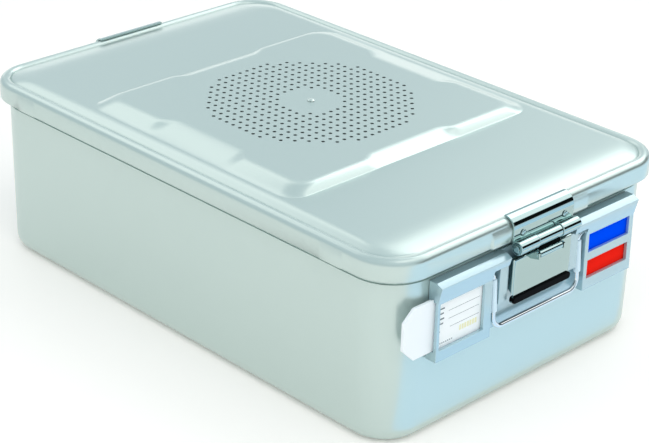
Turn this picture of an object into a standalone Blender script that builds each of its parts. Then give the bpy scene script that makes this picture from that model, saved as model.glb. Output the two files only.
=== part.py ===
# Sterilization container: a drawn aluminium base, a perforated lid with its filter,
# and at each end a moulded panel, a bail handle and a toggle latch.
# Metres, +Z up. The origin is under the centre of the base, and the labelled end faces -Y.

import math

import bmesh
import bpy
from mathutils import Matrix, Vector

OBJECT_NAME = "sterilization_container"

# Clearances shared by every fit
GAP = 0.0003
OVERRUN = 0.002
WELD = 0.00001

# Base: one deep drawn shell with a lip for the seal
BASE_LENGTH = 0.452
BASE_WIDTH = 0.292
BASE_HEIGHT = 0.143
BASE_WALL = 0.0018
BASE_CORNER = 0.034
BASE_BOTTOM_RADIUS = 0.013
BASE_DRAFT = 0.001
LIP_OUT = 0.0023
LIP_RISE = 0.0024
LIP_LAND = 0.0021

# Lid seal, pressed between the lip and the lid's groove
GASKET_HEIGHT = 0.0046
GASKET_WIDTH = 0.005
GASKET_OUTSET = 0.003

# Lid: skirt, rolled rim, groove, deck and raised middle field
LID_OVERHANG = 0.006
LID_SHEET = 0.0015
LID_CORNER = 0.036
SKIRT_HEIGHT = 0.012
RIM_RADIUS = 0.005
GROOVE_DEPTH = 0.0018
GROOVE_INSET = 0.0085
DECK_INSET_SIDE = 0.021
DECK_INSET_END = 0.032
DECK_CORNER = 0.022
DECK_RISE = 0.0032
FIELD_RISE = 0.0055
FIELD_SHIFT = 0.0045
FIELD_BASE_WIDTH = 0.254
FIELD_BASE_LENGTH = 0.233
FIELD_SLOPE_SIDE = 0.012
FIELD_SLOPE_END = 0.006
FIELD_CORNER = 0.016
FIELD_EDGE = 0.002
FIELD_EDGE_DROP = 0.0005
NOTCH_END_HALF = 0.046
NOTCH_END_DEPTH = 0.005
NOTCH_SIDE_HALF = 0.044
NOTCH_SIDE_DEPTH = 0.009
NOTCH_RAMP = 0.005
PAD_END_HALF = 0.052
PAD_END_OUT = 0.002
PAD_SIDE_INSET = 0.059
PAD_SIDE_HALF = 0.010
PAD_SIDE_OUT = 0.001
PAD_RAMP = 0.0015

# Perforations: a square lattice inside a ring
HOLE_PITCH = 0.0075
HOLE_DIAMETER = 0.003
HOLE_FIELD_RADIUS = 0.0840
HOLE_BLANK_RADIUS = 0.0262
HOLE_SIDES = 4

# Filter, its retainer and the stud that they hang on
FILTER_RADIUS = 0.090
FILTER_THICKNESS = 0.0008
RETAINER_RADIUS = 0.093
RETAINER_RIM = 0.005
RETAINER_DROP = 0.003
RETAINER_SHEET = 0.0012
RETAINER_HOLE_RADIUS = 0.0105
RETAINER_HOLE_CIRCLE = 0.055
RETAINER_HOLES = 12
STUD_RADIUS = 0.002
STUD_HEAD_RADIUS = 0.0032
STUD_HEAD_RISE = 0.0012
STUD_HEAD_SHOULDER_SHARES = (0.6, 0.85)
STUD_TAIL = 0.0030
KNOB_RADIUS = 0.014
KNOB_HUB_RADIUS = 0.006
KNOB_SHEET = 0.0016
KNOB_HUB_HEIGHT = 0.004

# End panel: two wings, a thin plate between them and a roof over the handle's pivots
PANEL_HALF_WIDTH = 0.109
PANEL_HEIGHT = 0.0615
PANEL_UNDER_SKIRT = 0.0065
PANEL_RIDGE_OUT = 0.013
PANEL_RIDGE_DROP = 0.016
PANEL_FACE_OUT_TOP = 0.0090
PANEL_FACE_OUT_BOTTOM = 0.0098
PANEL_PLATE = 0.0018
PANEL_CENTRE_HALF = 0.052
PANEL_ROOF_HALF = 0.0365
PANEL_ROOF_HEIGHT = 0.009

# Windows of the panel, from its top edge down and from its middle out
CARD_WINDOW_OUTER = 0.106
CARD_WINDOW_INNER = 0.060
CARD_WINDOW_TOP = 0.0165
CARD_WINDOW_HEIGHT = 0.0365
TAG_WINDOW_INNER = 0.056
TAG_WINDOW_OUTER = 0.104
TAG_WINDOW_HEIGHT = 0.015
BLUE_WINDOW_TOP = 0.0157
RED_WINDOW_TOP = 0.0375
POCKET_BACK = 0.0068
POCKET_DEPTH = 0.0028
POCKET_BORDER = 0.0012
POCKET_OVERRUN_SHARE = 0.05

# Card carrier, card and coloured tags
CARRIER_SHEET = 0.0012
CARRIER_TAB_OUT = 0.0295
CARRIER_TAB_EXTRA = 0.0025
CARRIER_TAB_CHAMFER = 0.010
TAB_TOP_CHAMFER_SHARE = 0.6
TAB_BOTTOM_CHAMFER_SHARE = 1.1
CARD_SHEET = 0.0005
TAG_SHEET = 0.0020

# Bail handle
WIRE_RADIUS = 0.0019
BAIL_INSET = 0.005
BAIL_PIVOT_DROP = 0.014
BAIL_DROP = 0.0435
BAIL_LEAN = 0.0028
BAIL_BEND = 0.009
BAIL_PIVOT_BEND = 0.004
BAIL_PIVOT_DEPTH = 0.0015
BAIL_BACK_GAP = 0.0013
SLEEVE_WALL = 0.0006
SLEEVE_TOP = 0.0045
SLEEVE_LENGTH = 0.0255
BEND_STEPS = 5

# Toggle latch: bracket over the rim, hinge, link, lever and keeper
BRACKET_HALF = 0.033
BRACKET_SHEET = 0.0015
BRACKET_RADIUS = 0.0073
BRACKET_REACH = 0.0015
ARC_STEPS = 6
KNUCKLE_RADIUS = 0.0045
KNUCKLE_OUT = 0.0052
KNUCKLE_HALF_MIDDLE = 0.0128
HINGE_DROP = 0.003
HINGE_PIN_RADIUS = 0.0018
HINGE_PIN_HEAD = 0.0026
HINGE_PIN_HEAD_LENGTH = 0.0008
LINK_DROP = 0.010
LINK_OUT = 0.003
LINK_ROLL_RADIUS = 0.0028
LINK_STRAP = 0.0014
LINK_PIN_RADIUS = 0.0013
LEVER_HALF = 0.032
LEVER_SHEET = 0.0012
LEVER_SETBACK = 0.002
LEVER_LENGTH = 0.034
LEVER_FLANGE = 0.0042
LEVER_FLANGE_STOP = 0.0055
LEVER_LIP = 0.0045
EAR_SHEET = 0.0014
EAR_RADIUS = 0.0026
EAR_DROP = 0.0045
EAR_CORNER_SHARE = 0.6
SEAL_EYE_WIDTH = 0.0055
SEAL_EYE_DROP = 0.008
SEAL_EYE_HEIGHT = 0.0045
SEAL_EYE_HOLE = 0.0011
GRIP_HEIGHT = 0.0056
GRIP_WALL = 0.0014
GRIP_BELOW = 0.0012
KEEPER_HALF = 0.011
KEEPER_SHEET = 0.0015
KEEPER_NOSE = 0.0035
KEEPER_FOOT = 0.012
KEEPER_NOSE_CHAMFER_SHARE = 0.3
RIVET_RADIUS = 0.0014
RIVET_HEAD_RADIUS = 0.0026
RIVET_HEAD_HEIGHT = 0.0010
RIVET_TAIL = 0.0009
RIVET_CROWN_SHARE = 0.6
BRACKET_RIVET_X = 0.023
BRACKET_RIVET_RISE = 0.0055
KEEPER_RIVET_X = 0.0065
ROUND_STEPS = 12
RIVET_STEPS = 8
KNUCKLE_STEPS = 14
DISC_STEPS = 32
CORNER_STEPS = 8

# Heights and depths that follow from the sizes above
RIM_TOP = BASE_HEIGHT + GAP + GASKET_HEIGHT + GAP + LID_SHEET + GROOVE_DEPTH
SKIRT_BOTTOM = RIM_TOP - RIM_RADIUS - SKIRT_HEIGHT
DECK_TOP = RIM_TOP - GROOVE_DEPTH + DECK_RISE
FIELD_TOP = DECK_TOP + FIELD_RISE
END_WALL = 0.5 * BASE_LENGTH
LID_HALF_X = 0.5 * BASE_WIDTH + LID_OVERHANG
LID_HALF_Y = 0.5 * BASE_LENGTH + LID_OVERHANG
PAD_SIDE_CENTRE = LID_HALF_Y - PAD_SIDE_INSET
PANEL_BACK = END_WALL + GAP
PANEL_TOP = SKIRT_BOTTOM - PANEL_UNDER_SKIRT
PANEL_BOTTOM = PANEL_TOP - PANEL_HEIGHT
PLATE_FACE = PANEL_BACK + PANEL_PLATE
BAIL_HALF = PANEL_CENTRE_HALF - BAIL_INSET
BAIL_Z = PANEL_TOP - BAIL_PIVOT_DROP
BAIL_Y = PLATE_FACE + BAIL_BACK_GAP + WIRE_RADIUS
BRACKET_BACK = LID_HALF_Y + PAD_END_OUT + GAP
HINGE_Y = BRACKET_BACK + KNUCKLE_OUT
HINGE_Z = SKIRT_BOTTOM - HINGE_DROP
LINK_Y = HINGE_Y + LINK_OUT
LINK_Z = HINGE_Z - LINK_DROP
LEVER_FACE = HINGE_Y - LEVER_SETBACK
LEVER_TOP = LINK_Z
LEVER_BOTTOM = LEVER_TOP - LEVER_LENGTH
LEVER_LIP_TIP = LEVER_FACE - LEVER_LIP
KEEPER_TIP = LEVER_LIP_TIP - GAP
KEEPER_BACK = PLATE_FACE + GAP

# Materials: colour, roughness and metallic value
MATERIALS = {
    "aluminium": ((0.62, 0.72, 0.70, 1.0), 0.42, 0.75),
    "stainless": ((0.66, 0.72, 0.72, 1.0), 0.28, 1.0),
    "chrome": ((0.82, 0.86, 0.84, 1.0), 0.12, 1.0),
    "grey_plastic": ((0.60, 0.72, 0.74, 1.0), 0.45, 0.0),
    "white_plastic": ((0.88, 0.92, 0.90, 1.0), 0.40, 0.0),
    "card": ((0.90, 0.91, 0.87, 1.0), 0.85, 0.0),
    "blue_plastic": ((0.01, 0.06, 0.78, 1.0), 0.35, 0.0),
    "red_plastic": ((0.80, 0.02, 0.02, 1.0), 0.35, 0.0),
    "black_rubber": ((0.02, 0.02, 0.025, 1.0), 0.60, 0.0),
    "silicone": ((0.55, 0.58, 0.56, 1.0), 0.70, 0.0),
    "filter_paper": ((0.86, 0.88, 0.84, 1.0), 0.95, 0.0),
}


# Scene, collections and materials

def clear_scene():
    for obj in list(bpy.data.objects):
        bpy.data.objects.remove(obj, do_unlink=True)


def new_collection(name):
    collection = bpy.data.collections.new(name)
    bpy.context.scene.collection.children.link(collection)
    return collection


def make_materials():
    made = {}
    for name, (color, roughness, metallic) in MATERIALS.items():
        material = bpy.data.materials.new(name)
        material.use_nodes = True
        shader = material.node_tree.nodes["Principled BSDF"]
        shader.inputs["Base Color"].default_value = color
        shader.inputs["Roughness"].default_value = roughness
        shader.inputs["Metallic"].default_value = metallic
        made[name] = material
    return made


# Building blocks

def link_mesh(name, bm):
    """Turn a bmesh into an object of the parts collection, its faces pointing out."""
    bmesh.ops.recalc_face_normals(bm, faces=bm.faces)
    mesh = bpy.data.meshes.new(name)
    bm.to_mesh(mesh)
    bm.free()
    obj = bpy.data.objects.new(name, mesh)
    PARTS.objects.link(obj)
    return obj


def box(name, low, high):
    bm = bmesh.new()
    size = [high[i] - low[i] for i in range(3)]
    middle = [0.5 * (high[i] + low[i]) for i in range(3)]
    matrix = Matrix.Translation(middle) @ Matrix.Diagonal((*size, 1.0))
    bmesh.ops.create_cube(bm, size=1.0, matrix=matrix)
    return link_mesh(name, bm)


def rod_into(bm, start, end, radius, steps=ROUND_STEPS, end_radius=None):
    """Add a closed round rod between two points to a bmesh."""
    start, end = Vector(start), Vector(end)
    turn = Vector((0.0, 0.0, 1.0)).rotation_difference(end - start).to_matrix().to_4x4()
    matrix = Matrix.Translation(0.5 * (start + end)) @ turn
    bmesh.ops.create_cone(
        bm, cap_ends=True, segments=steps, radius1=radius,
        radius2=radius if end_radius is None else end_radius,
        depth=(end - start).length, matrix=matrix)


def rod(name, start, end, radius, steps=ROUND_STEPS):
    bm = bmesh.new()
    rod_into(bm, start, end, radius, steps)
    return link_mesh(name, bm)


def outline_solid(name, outline, low, high, axis="X"):
    """Extrude a flat outline from low to high along X, or along Y or Z.

    An outline is (outward, height) for X, (across, height) for Y and (x, y) for Z.
    Outward is -Y, the way that the labelled end faces.
    """
    curve = bpy.data.curves.new(name + "_outline", "CURVE")
    curve.dimensions = "2D"
    curve.fill_mode = "BOTH"
    curve.extrude = 0.5 * (high - low)
    spline = curve.splines.new("POLY")
    spline.points.add(len(outline) - 1)
    for point, (u, v) in zip(spline.points, outline):
        point.co = (u, v, 0.0, 1.0)
    spline.use_cyclic_u = True
    holder = bpy.data.objects.new(name + "_outline", curve)
    PARTS.objects.link(holder)
    bpy.context.view_layer.update()
    mesh = bpy.data.meshes.new_from_object(holder.evaluated_get(bpy.context.evaluated_depsgraph_get()))
    middle = 0.5 * (low + high)
    frames = {
        "X": Matrix(((0, 0, 1, middle), (-1, 0, 0, 0), (0, 1, 0, 0), (0, 0, 0, 1))),
        "Y": Matrix(((1, 0, 0, 0), (0, 0, 1, middle), (0, 1, 0, 0), (0, 0, 0, 1))),
        "Z": Matrix(((1, 0, 0, 0), (0, 1, 0, 0), (0, 0, 1, middle), (0, 0, 0, 1))),
    }
    bm = bmesh.new()
    bm.from_mesh(mesh)
    bmesh.ops.remove_doubles(bm, verts=bm.verts, dist=WELD)
    bmesh.ops.transform(bm, matrix=frames[axis], verts=bm.verts)
    bpy.data.objects.remove(holder, do_unlink=True)
    bpy.data.meshes.remove(mesh)
    bpy.data.curves.remove(curve)
    return link_mesh(name, bm)


def turned(name, profile, centre, steps=DISC_STEPS):
    """Turn a closed (radius, height) profile about a vertical axis through centre."""
    mesh = bpy.data.meshes.new(name)
    count = len(profile)
    mesh.from_pydata([(r, 0.0, z) for r, z in profile], [(i, (i + 1) % count) for i in range(count)], [])
    obj = bpy.data.objects.new(name, mesh)
    PARTS.objects.link(obj)
    obj.location = centre
    screw = obj.modifiers.new("turn", "SCREW")
    screw.axis = "Z"
    screw.steps = steps
    screw.render_steps = steps
    screw.use_merge_vertices = True
    screw.merge_threshold = WELD
    settle(obj)
    bm = bmesh.new()
    bm.from_mesh(obj.data)
    bmesh.ops.recalc_face_normals(bm, faces=bm.faces)
    bm.to_mesh(obj.data)
    bm.free()
    return obj


def carve(target, cutter, operation="DIFFERENCE"):
    """Cut the target with the cutter, or join the two, and put the cutter away."""
    modifier = target.modifiers.new(cutter.name, "BOOLEAN")
    modifier.operation = operation
    modifier.solver = "EXACT"
    modifier.object = cutter
    cutter.hide_render = True
    cutter.display_type = "WIRE"
    PARTS.objects.unlink(cutter)
    CUTTERS.objects.link(cutter)
    return target


def settle(obj):
    """Replace an object's mesh with its evaluated one, so that a copy can share it."""
    bpy.context.view_layer.update()
    evaluated = obj.evaluated_get(bpy.context.evaluated_depsgraph_get())
    mesh = bpy.data.meshes.new_from_object(evaluated)
    mesh.name = obj.name
    obj.modifiers.clear()
    obj.data = mesh
    return obj


def move_origin(obj, point):
    """Put the origin of an object at a point, with its shape left where it is."""
    obj.data.transform(Matrix.Translation(-Vector(point)))
    obj.location = point
    return obj


def paint(obj, material):
    obj.data.materials.clear()
    obj.data.materials.append(MADE[material])
    return obj


def smooth(obj, degrees=35.0):
    if obj.type == "MESH":
        obj.data.shade_smooth()
        obj.data.set_sharp_from_angle(angle=math.radians(degrees))
    return obj


def front(x, out, z):
    """A point at the labelled end, out from the middle of the container."""
    return (x, -out, z)


# Drawn shells from rings of rounded rectangles

def ring(half_x, half_y, radius, z, x_stations=(), y_stations=(), shift_y=0.0):
    """Points of a rounded rectangle, anticlockwise, with extra stations on its sides."""
    points = []
    corners = ((1, 1), (-1, 1), (-1, -1), (1, -1))
    for index, (sx, sy) in enumerate(corners):
        for step in range(CORNER_STEPS + 1):
            angle = 0.5 * math.pi * (index + step / CORNER_STEPS)
            x = sx * (half_x - radius) + radius * math.cos(angle)
            y = sy * (half_y - radius) + radius * math.sin(angle)
            points.append(Vector((x, y + shift_y, z)))
        if index == 0:
            points += [Vector((x, half_y + shift_y, z)) for x in reversed(x_stations)]
        elif index == 1:
            points += [Vector((-half_x, y + shift_y, z)) for y in reversed(y_stations)]
        elif index == 2:
            points += [Vector((x, -half_y + shift_y, z)) for x in x_stations]
        else:
            points += [Vector((half_x, y + shift_y, z)) for y in y_stations]
    return points


def skin(bm, rings):
    """Join rings with the same number of points, and return their vertices."""
    rows = [[bm.verts.new(point) for point in points] for points in rings]
    for low, high in zip(rows, rows[1:]):
        count = len(low)
        for i in range(count):
            j = (i + 1) % count
            bm.faces.new((low[i], low[j], high[j], high[i]))
    return rows


def shell_object(name, rings, cap, sheet):
    """An open skin, capped at its first or last ring, with the sheet's thickness inwards."""
    bm = bmesh.new()
    rows = skin(bm, rings)
    if cap == "first":
        bm.faces.new(list(reversed(rows[0])))
    else:
        bm.faces.new(rows[-1])
    mesh = bpy.data.meshes.new(name)
    bm.to_mesh(mesh)
    bm.free()
    obj = bpy.data.objects.new(name, mesh)
    PARTS.objects.link(obj)
    solidify = obj.modifiers.new("sheet", "SOLIDIFY")
    solidify.thickness = sheet
    solidify.offset = -1.0
    solidify.use_even_offset = True
    solidify.use_rim = True
    return obj


def make_base():
    half_x = 0.5 * BASE_WIDTH
    half_y = 0.5 * BASE_LENGTH
    lip_foot = BASE_HEIGHT - LIP_LAND - LIP_RISE
    rings = []
    bottom_steps = 4
    for step in range(bottom_steps + 1):
        angle = 0.5 * math.pi * step / bottom_steps
        inset = BASE_DRAFT + BASE_BOTTOM_RADIUS * (1.0 - math.sin(angle))
        z = BASE_BOTTOM_RADIUS * (1.0 - math.cos(angle))
        rings.append(ring(half_x - inset, half_y - inset, BASE_CORNER - inset, z))
    rings.append(ring(half_x, half_y, BASE_CORNER, lip_foot))
    for out, z in ((LIP_OUT, BASE_HEIGHT - LIP_LAND), (LIP_OUT, BASE_HEIGHT)):
        rings.append(ring(half_x + out, half_y + out, BASE_CORNER + out, z))
    base = shell_object("base_shell", rings, "first", BASE_WALL)
    for side, x in keeper_rivet_places():
        holes = rod("wall_hole_" + side, (x, -END_WALL - OVERRUN, keeper_rivet_z()),
                    (x, -END_WALL + BASE_WALL + OVERRUN, keeper_rivet_z()), RIVET_RADIUS + GAP, RIVET_STEPS)
        carve(base, holes)
        far = rod("wall_hole_rear_" + side, (x, END_WALL + OVERRUN, keeper_rivet_z()),
                  (x, END_WALL - BASE_WALL - OVERRUN, keeper_rivet_z()), RIVET_RADIUS + GAP, RIVET_STEPS)
        carve(base, far)
    return smooth(paint(base, "aluminium"))


def pad_stations():
    """Side stations where the skirt's pads and the field's notches start and end."""
    across = (PAD_END_HALF + PAD_RAMP, PAD_END_HALF, NOTCH_END_HALF, NOTCH_END_HALF - NOTCH_RAMP)
    low, high = PAD_SIDE_CENTRE - PAD_SIDE_HALF, PAD_SIDE_CENTRE + PAD_SIDE_HALF
    along = (high + PAD_RAMP, high, low, low - PAD_RAMP, NOTCH_SIDE_HALF, NOTCH_SIDE_HALF - NOTCH_RAMP)
    x_stations = [-x for x in across] + [x for x in reversed(across)]
    y_stations = [-y for y in along] + [y for y in reversed(along)]
    return x_stations, y_stations


def push_pads(points):
    """Move the skirt's points out where a pad is pressed into it."""
    half_x, half_y = LID_HALF_X, LID_HALF_Y
    side_low, side_high = PAD_SIDE_CENTRE - PAD_SIDE_HALF, PAD_SIDE_CENTRE + PAD_SIDE_HALF
    for point in points:
        on_end = abs(abs(point.y) - half_y) < WELD
        on_side = abs(abs(point.x) - half_x) < WELD
        if on_end and abs(point.x) < PAD_END_HALF + WELD:
            point.y += math.copysign(PAD_END_OUT, point.y)
        elif on_side and side_low - WELD < abs(point.y) < side_high + WELD:
            point.x += math.copysign(PAD_SIDE_OUT, point.x)
    return points


def push_notches(points, half_x, half_y):
    """Move the field's top edge in where its four notches are."""
    for point in points:
        y = point.y - FIELD_SHIFT
        on_end = abs(abs(y) - half_y) < WELD
        on_side = abs(abs(point.x) - half_x) < WELD
        if on_end and abs(point.x) < NOTCH_END_HALF - NOTCH_RAMP + WELD:
            point.y -= math.copysign(NOTCH_END_DEPTH, y)
        elif on_side and abs(y) < NOTCH_SIDE_HALF - NOTCH_RAMP + WELD:
            point.x -= math.copysign(NOTCH_SIDE_DEPTH, point.x)
    return points


def field_ring(half_x, half_y, radius, z, notched):
    """A ring of the raised field, whose side stations stay within its straight sides."""
    x_stations, y_stations = pad_stations()
    reach = half_y - radius
    inner = NOTCH_SIDE_HALF
    outer = PAD_SIDE_CENTRE + PAD_SIDE_HALF + PAD_RAMP
    squeezed = []
    for y in y_stations:
        if abs(y) > inner + WELD:
            share = (abs(y) - inner) / (outer - inner)
            squeezed.append(math.copysign(inner + share * (reach - inner), y))
        else:
            squeezed.append(y)
    points = ring(half_x, half_y, radius, z, x_stations, squeezed, FIELD_SHIFT)
    return push_notches(points, half_x, half_y) if notched else points


def lid_rings():
    """Rings of the lid's outer face, from the skirt's edge up and in to the raised field."""
    x_stations, y_stations = pad_stations()

    def level(inset, z):
        return ring(LID_HALF_X - inset, LID_HALF_Y - inset, LID_CORNER - inset, z, x_stations, y_stations)

    rim_foot = RIM_TOP - RIM_RADIUS
    rings = [push_pads(level(0.0, SKIRT_BOTTOM)), push_pads(level(0.0, rim_foot - PAD_END_OUT))]
    rings.append(level(0.0, rim_foot))
    for degrees in (40.0, 90.0):
        angle = math.radians(degrees)
        rings.append(level(RIM_RADIUS * (1.0 - math.cos(angle)), rim_foot + RIM_RADIUS * math.sin(angle)))
    rings.append(level(GROOVE_INSET, RIM_TOP - GROOVE_DEPTH))
    rings.append(ring(LID_HALF_X - DECK_INSET_SIDE, LID_HALF_Y - DECK_INSET_END, DECK_CORNER, DECK_TOP,
                      x_stations, y_stations))
    half_x, half_y = 0.5 * FIELD_BASE_WIDTH, 0.5 * FIELD_BASE_LENGTH
    rings.append(field_ring(half_x, half_y, FIELD_CORNER, DECK_TOP, False))
    half_x, half_y = half_x - FIELD_SLOPE_SIDE, half_y - FIELD_SLOPE_END
    rings.append(field_ring(half_x, half_y, FIELD_CORNER, FIELD_TOP - FIELD_EDGE_DROP, True))
    half_x, half_y = half_x - FIELD_EDGE, half_y - FIELD_EDGE
    rings.append(field_ring(half_x, half_y, FIELD_CORNER, FIELD_TOP, True))
    return rings


def hole_places():
    """Lattice points of the perforated ring, half a pitch off its centre each way."""
    reach = int(HOLE_FIELD_RADIUS / HOLE_PITCH) + 1
    places = []
    for i in range(-reach, reach):
        for j in range(-reach, reach):
            x, y = (i + 0.5) * HOLE_PITCH, (j + 0.5) * HOLE_PITCH
            if HOLE_BLANK_RADIUS < math.hypot(x, y) < HOLE_FIELD_RADIUS:
                places.append((x, y + FIELD_SHIFT))
    return places


def make_lid():
    lid = shell_object("lid_shell", lid_rings(), "last", LID_SHEET)
    bm = bmesh.new()
    low, high = FIELD_TOP - LID_SHEET - OVERRUN, FIELD_TOP + OVERRUN
    for x, y in hole_places():
        rod_into(bm, (x, y, low), (x, y, high), 0.5 * HOLE_DIAMETER, HOLE_SIDES)
    rod_into(bm, (0.0, FIELD_SHIFT, low), (0.0, FIELD_SHIFT, high), STUD_RADIUS + GAP)
    carve(lid, link_mesh("perforations", bm))
    bm = bmesh.new()
    reach = LID_HALF_Y + PAD_END_OUT
    z = bracket_rivet_z()
    for sign in (-1, 1):
        for x in (-BRACKET_RIVET_X, BRACKET_RIVET_X):
            rod_into(bm, (x, sign * (reach + OVERRUN), z), (x, sign * (reach - LID_SHEET - OVERRUN), z),
                     RIVET_RADIUS + GAP, RIVET_STEPS)
    carve(lid, link_mesh("skirt_rivet_holes", bm))
    return smooth(paint(lid, "aluminium"))


def make_gasket():
    """A closed ring of rectangular section above the lip."""
    outer_x = 0.5 * BASE_WIDTH + GASKET_OUTSET
    outer_y = 0.5 * BASE_LENGTH + GASKET_OUTSET
    radius = BASE_CORNER + GASKET_OUTSET
    low, high = BASE_HEIGHT + GAP, BASE_HEIGHT + GAP + GASKET_HEIGHT
    bm = bmesh.new()
    rings = []
    for inset, z in ((0.0, low), (0.0, high), (GASKET_WIDTH, high), (GASKET_WIDTH, low)):
        rings.append(ring(outer_x - inset, outer_y - inset, radius - inset, z))
    rows = skin(bm, rings)
    count = len(rows[0])
    for i in range(count):
        j = (i + 1) % count
        bm.faces.new((rows[-1][i], rows[-1][j], rows[0][j], rows[0][i]))
    return paint(link_mesh("lid_gasket", bm), "silicone")


# Filter, retainer, stud and knob under the raised field

def make_filter():
    centre = (0.0, FIELD_SHIFT, 0.0)
    under = FIELD_TOP - LID_SHEET
    bore = STUD_RADIUS + GAP
    head = FIELD_TOP + GAP
    sheet_top = under - GAP
    sheet_low = sheet_top - FILTER_THICKNESS
    plate_top = sheet_low - GAP
    plate_low = plate_top - RETAINER_SHEET
    rim_low = plate_low - RETAINER_DROP
    knob_top = plate_low - GAP
    knob_low = knob_top - KNOB_SHEET
    hub_low = knob_low - KNOB_HUB_HEIGHT
    stud_low = hub_low + STUD_TAIL - OVERRUN
    shoulder = STUD_HEAD_SHOULDER_SHARES

    stud = turned("filter_stud", (
        (0.0, head + STUD_HEAD_RISE), (shoulder[0] * STUD_HEAD_RADIUS, head + shoulder[1] * STUD_HEAD_RISE),
        (STUD_HEAD_RADIUS, head), (STUD_RADIUS, head), (STUD_RADIUS, stud_low), (0.0, stud_low),
    ), centre, ROUND_STEPS)
    paper = turned("filter_sheet", (
        (bore, sheet_top), (FILTER_RADIUS, sheet_top), (FILTER_RADIUS, sheet_low), (bore, sheet_low),
    ), centre)
    retainer = turned("filter_retainer", (
        (bore, plate_top), (RETAINER_RADIUS, plate_top), (RETAINER_RADIUS + RETAINER_RIM, rim_low),
        (RETAINER_RADIUS + RETAINER_RIM - RETAINER_SHEET, rim_low),
        (RETAINER_RADIUS - RETAINER_SHEET, plate_low),
        (bore, plate_low),
    ), centre)
    bm = bmesh.new()
    for index in range(RETAINER_HOLES):
        angle = math.tau * index / RETAINER_HOLES
        x = RETAINER_HOLE_CIRCLE * math.cos(angle)
        y = RETAINER_HOLE_CIRCLE * math.sin(angle) + FIELD_SHIFT
        rod_into(bm, (x, y, plate_low - OVERRUN), (x, y, plate_top + OVERRUN), RETAINER_HOLE_RADIUS)
    carve(retainer, link_mesh("retainer_holes", bm))
    knob = turned("filter_knob", (
        (bore, knob_top), (KNOB_RADIUS, knob_top), (KNOB_RADIUS, knob_low), (KNOB_HUB_RADIUS, knob_low),
        (KNOB_HUB_RADIUS, hub_low), (bore, hub_low),
    ), centre, ROUND_STEPS)
    smooth(paint(stud, "stainless"))
    paint(paper, "filter_paper")
    paint(retainer, "aluminium")
    paint(knob, "grey_plastic")


# End panel

def wing_outline():
    """Section of a wing, outward from the wall and up."""
    foot = PANEL_BACK + PANEL_FACE_OUT_BOTTOM
    return ((PANEL_BACK, PANEL_BOTTOM), (foot, PANEL_BOTTOM),
            (PANEL_BACK + PANEL_FACE_OUT_TOP, PANEL_TOP - PANEL_RIDGE_DROP),
            (PANEL_BACK + PANEL_RIDGE_OUT, PANEL_TOP), (PANEL_BACK, PANEL_TOP))


def recess_outline():
    """The front view of the recess between the wings, narrower under the roof's open middle."""
    wide, narrow = PANEL_CENTRE_HALF, PANEL_ROOF_HALF
    low, step, high = PANEL_BOTTOM - OVERRUN, PANEL_TOP - PANEL_ROOF_HEIGHT, PANEL_TOP + OVERRUN
    return ((-wide, low), (wide, low), (wide, step), (narrow, step), (narrow, high),
            (-narrow, high), (-narrow, step), (-wide, step))


def cut_box(target, name, x0, x1, out0, out1, z0, z1):
    carve(target, box(name, (min(x0, x1), -out1, z0), (max(x0, x1), -out0, z1)))


def cut_pocket(panel, name, inner, outer, end, window_top, window_height):
    """A window in the face, and behind it a pocket that is open at the wing's end."""
    high = PANEL_TOP - window_top
    low = high - window_height
    face = PANEL_BACK + PANEL_RIDGE_OUT + OVERRUN
    back = PANEL_BACK + POCKET_BACK - POCKET_DEPTH
    cut_box(panel, name + "_window", inner, outer, back + POCKET_DEPTH - POCKET_BORDER, face, low, high)
    cut_box(panel, name + "_pocket", inner - math.copysign(POCKET_BORDER, end),
            end * (1.0 + POCKET_OVERRUN_SHARE), back, back + POCKET_DEPTH,
            low - POCKET_BORDER, high + POCKET_BORDER)


def make_panel():
    """The moulded end panel, with a card pocket at -X and two tag pockets at +X."""
    panel = outline_solid("front_panel", wing_outline(), -PANEL_HALF_WIDTH, PANEL_HALF_WIDTH)
    carve(panel, outline_solid("panel_recess", recess_outline(), -PANEL_BACK - PANEL_RIDGE_OUT - OVERRUN,
                               -PLATE_FACE, "Y"))
    cut_pocket(panel, "card", -CARD_WINDOW_INNER, -CARD_WINDOW_OUTER, -PANEL_HALF_WIDTH,
               CARD_WINDOW_TOP, CARD_WINDOW_HEIGHT)
    cut_pocket(panel, "blue", TAG_WINDOW_INNER, TAG_WINDOW_OUTER, PANEL_HALF_WIDTH,
               BLUE_WINDOW_TOP, TAG_WINDOW_HEIGHT)
    cut_pocket(panel, "red", TAG_WINDOW_INNER, TAG_WINDOW_OUTER, PANEL_HALF_WIDTH,
               RED_WINDOW_TOP, TAG_WINDOW_HEIGHT)
    bm = bmesh.new()
    reach = PANEL_CENTRE_HALF + BAIL_PIVOT_DEPTH + GAP
    rod_into(bm, front(-reach, BAIL_Y, BAIL_Z), front(reach, BAIL_Y, BAIL_Z), WIRE_RADIUS + GAP)
    carve(panel, link_mesh("pivot_bores", bm))
    bm = bmesh.new()
    for _, x in keeper_rivet_places():
        rod_into(bm, front(x, PANEL_BACK - OVERRUN, keeper_rivet_z()),
                 front(x, PLATE_FACE + OVERRUN, keeper_rivet_z()), RIVET_RADIUS + GAP, RIVET_STEPS)
    carve(panel, link_mesh("plate_rivet_holes", bm))
    return settle(paint(panel, "grey_plastic"))


# Card carrier, card and tags, each in its pocket

def pocket_levels(window_top, window_height):
    high = PANEL_TOP - window_top + POCKET_BORDER - GAP
    low = PANEL_TOP - window_top - window_height - POCKET_BORDER + GAP
    back = PANEL_BACK + POCKET_BACK - POCKET_DEPTH + GAP
    return low, high, back


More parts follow.
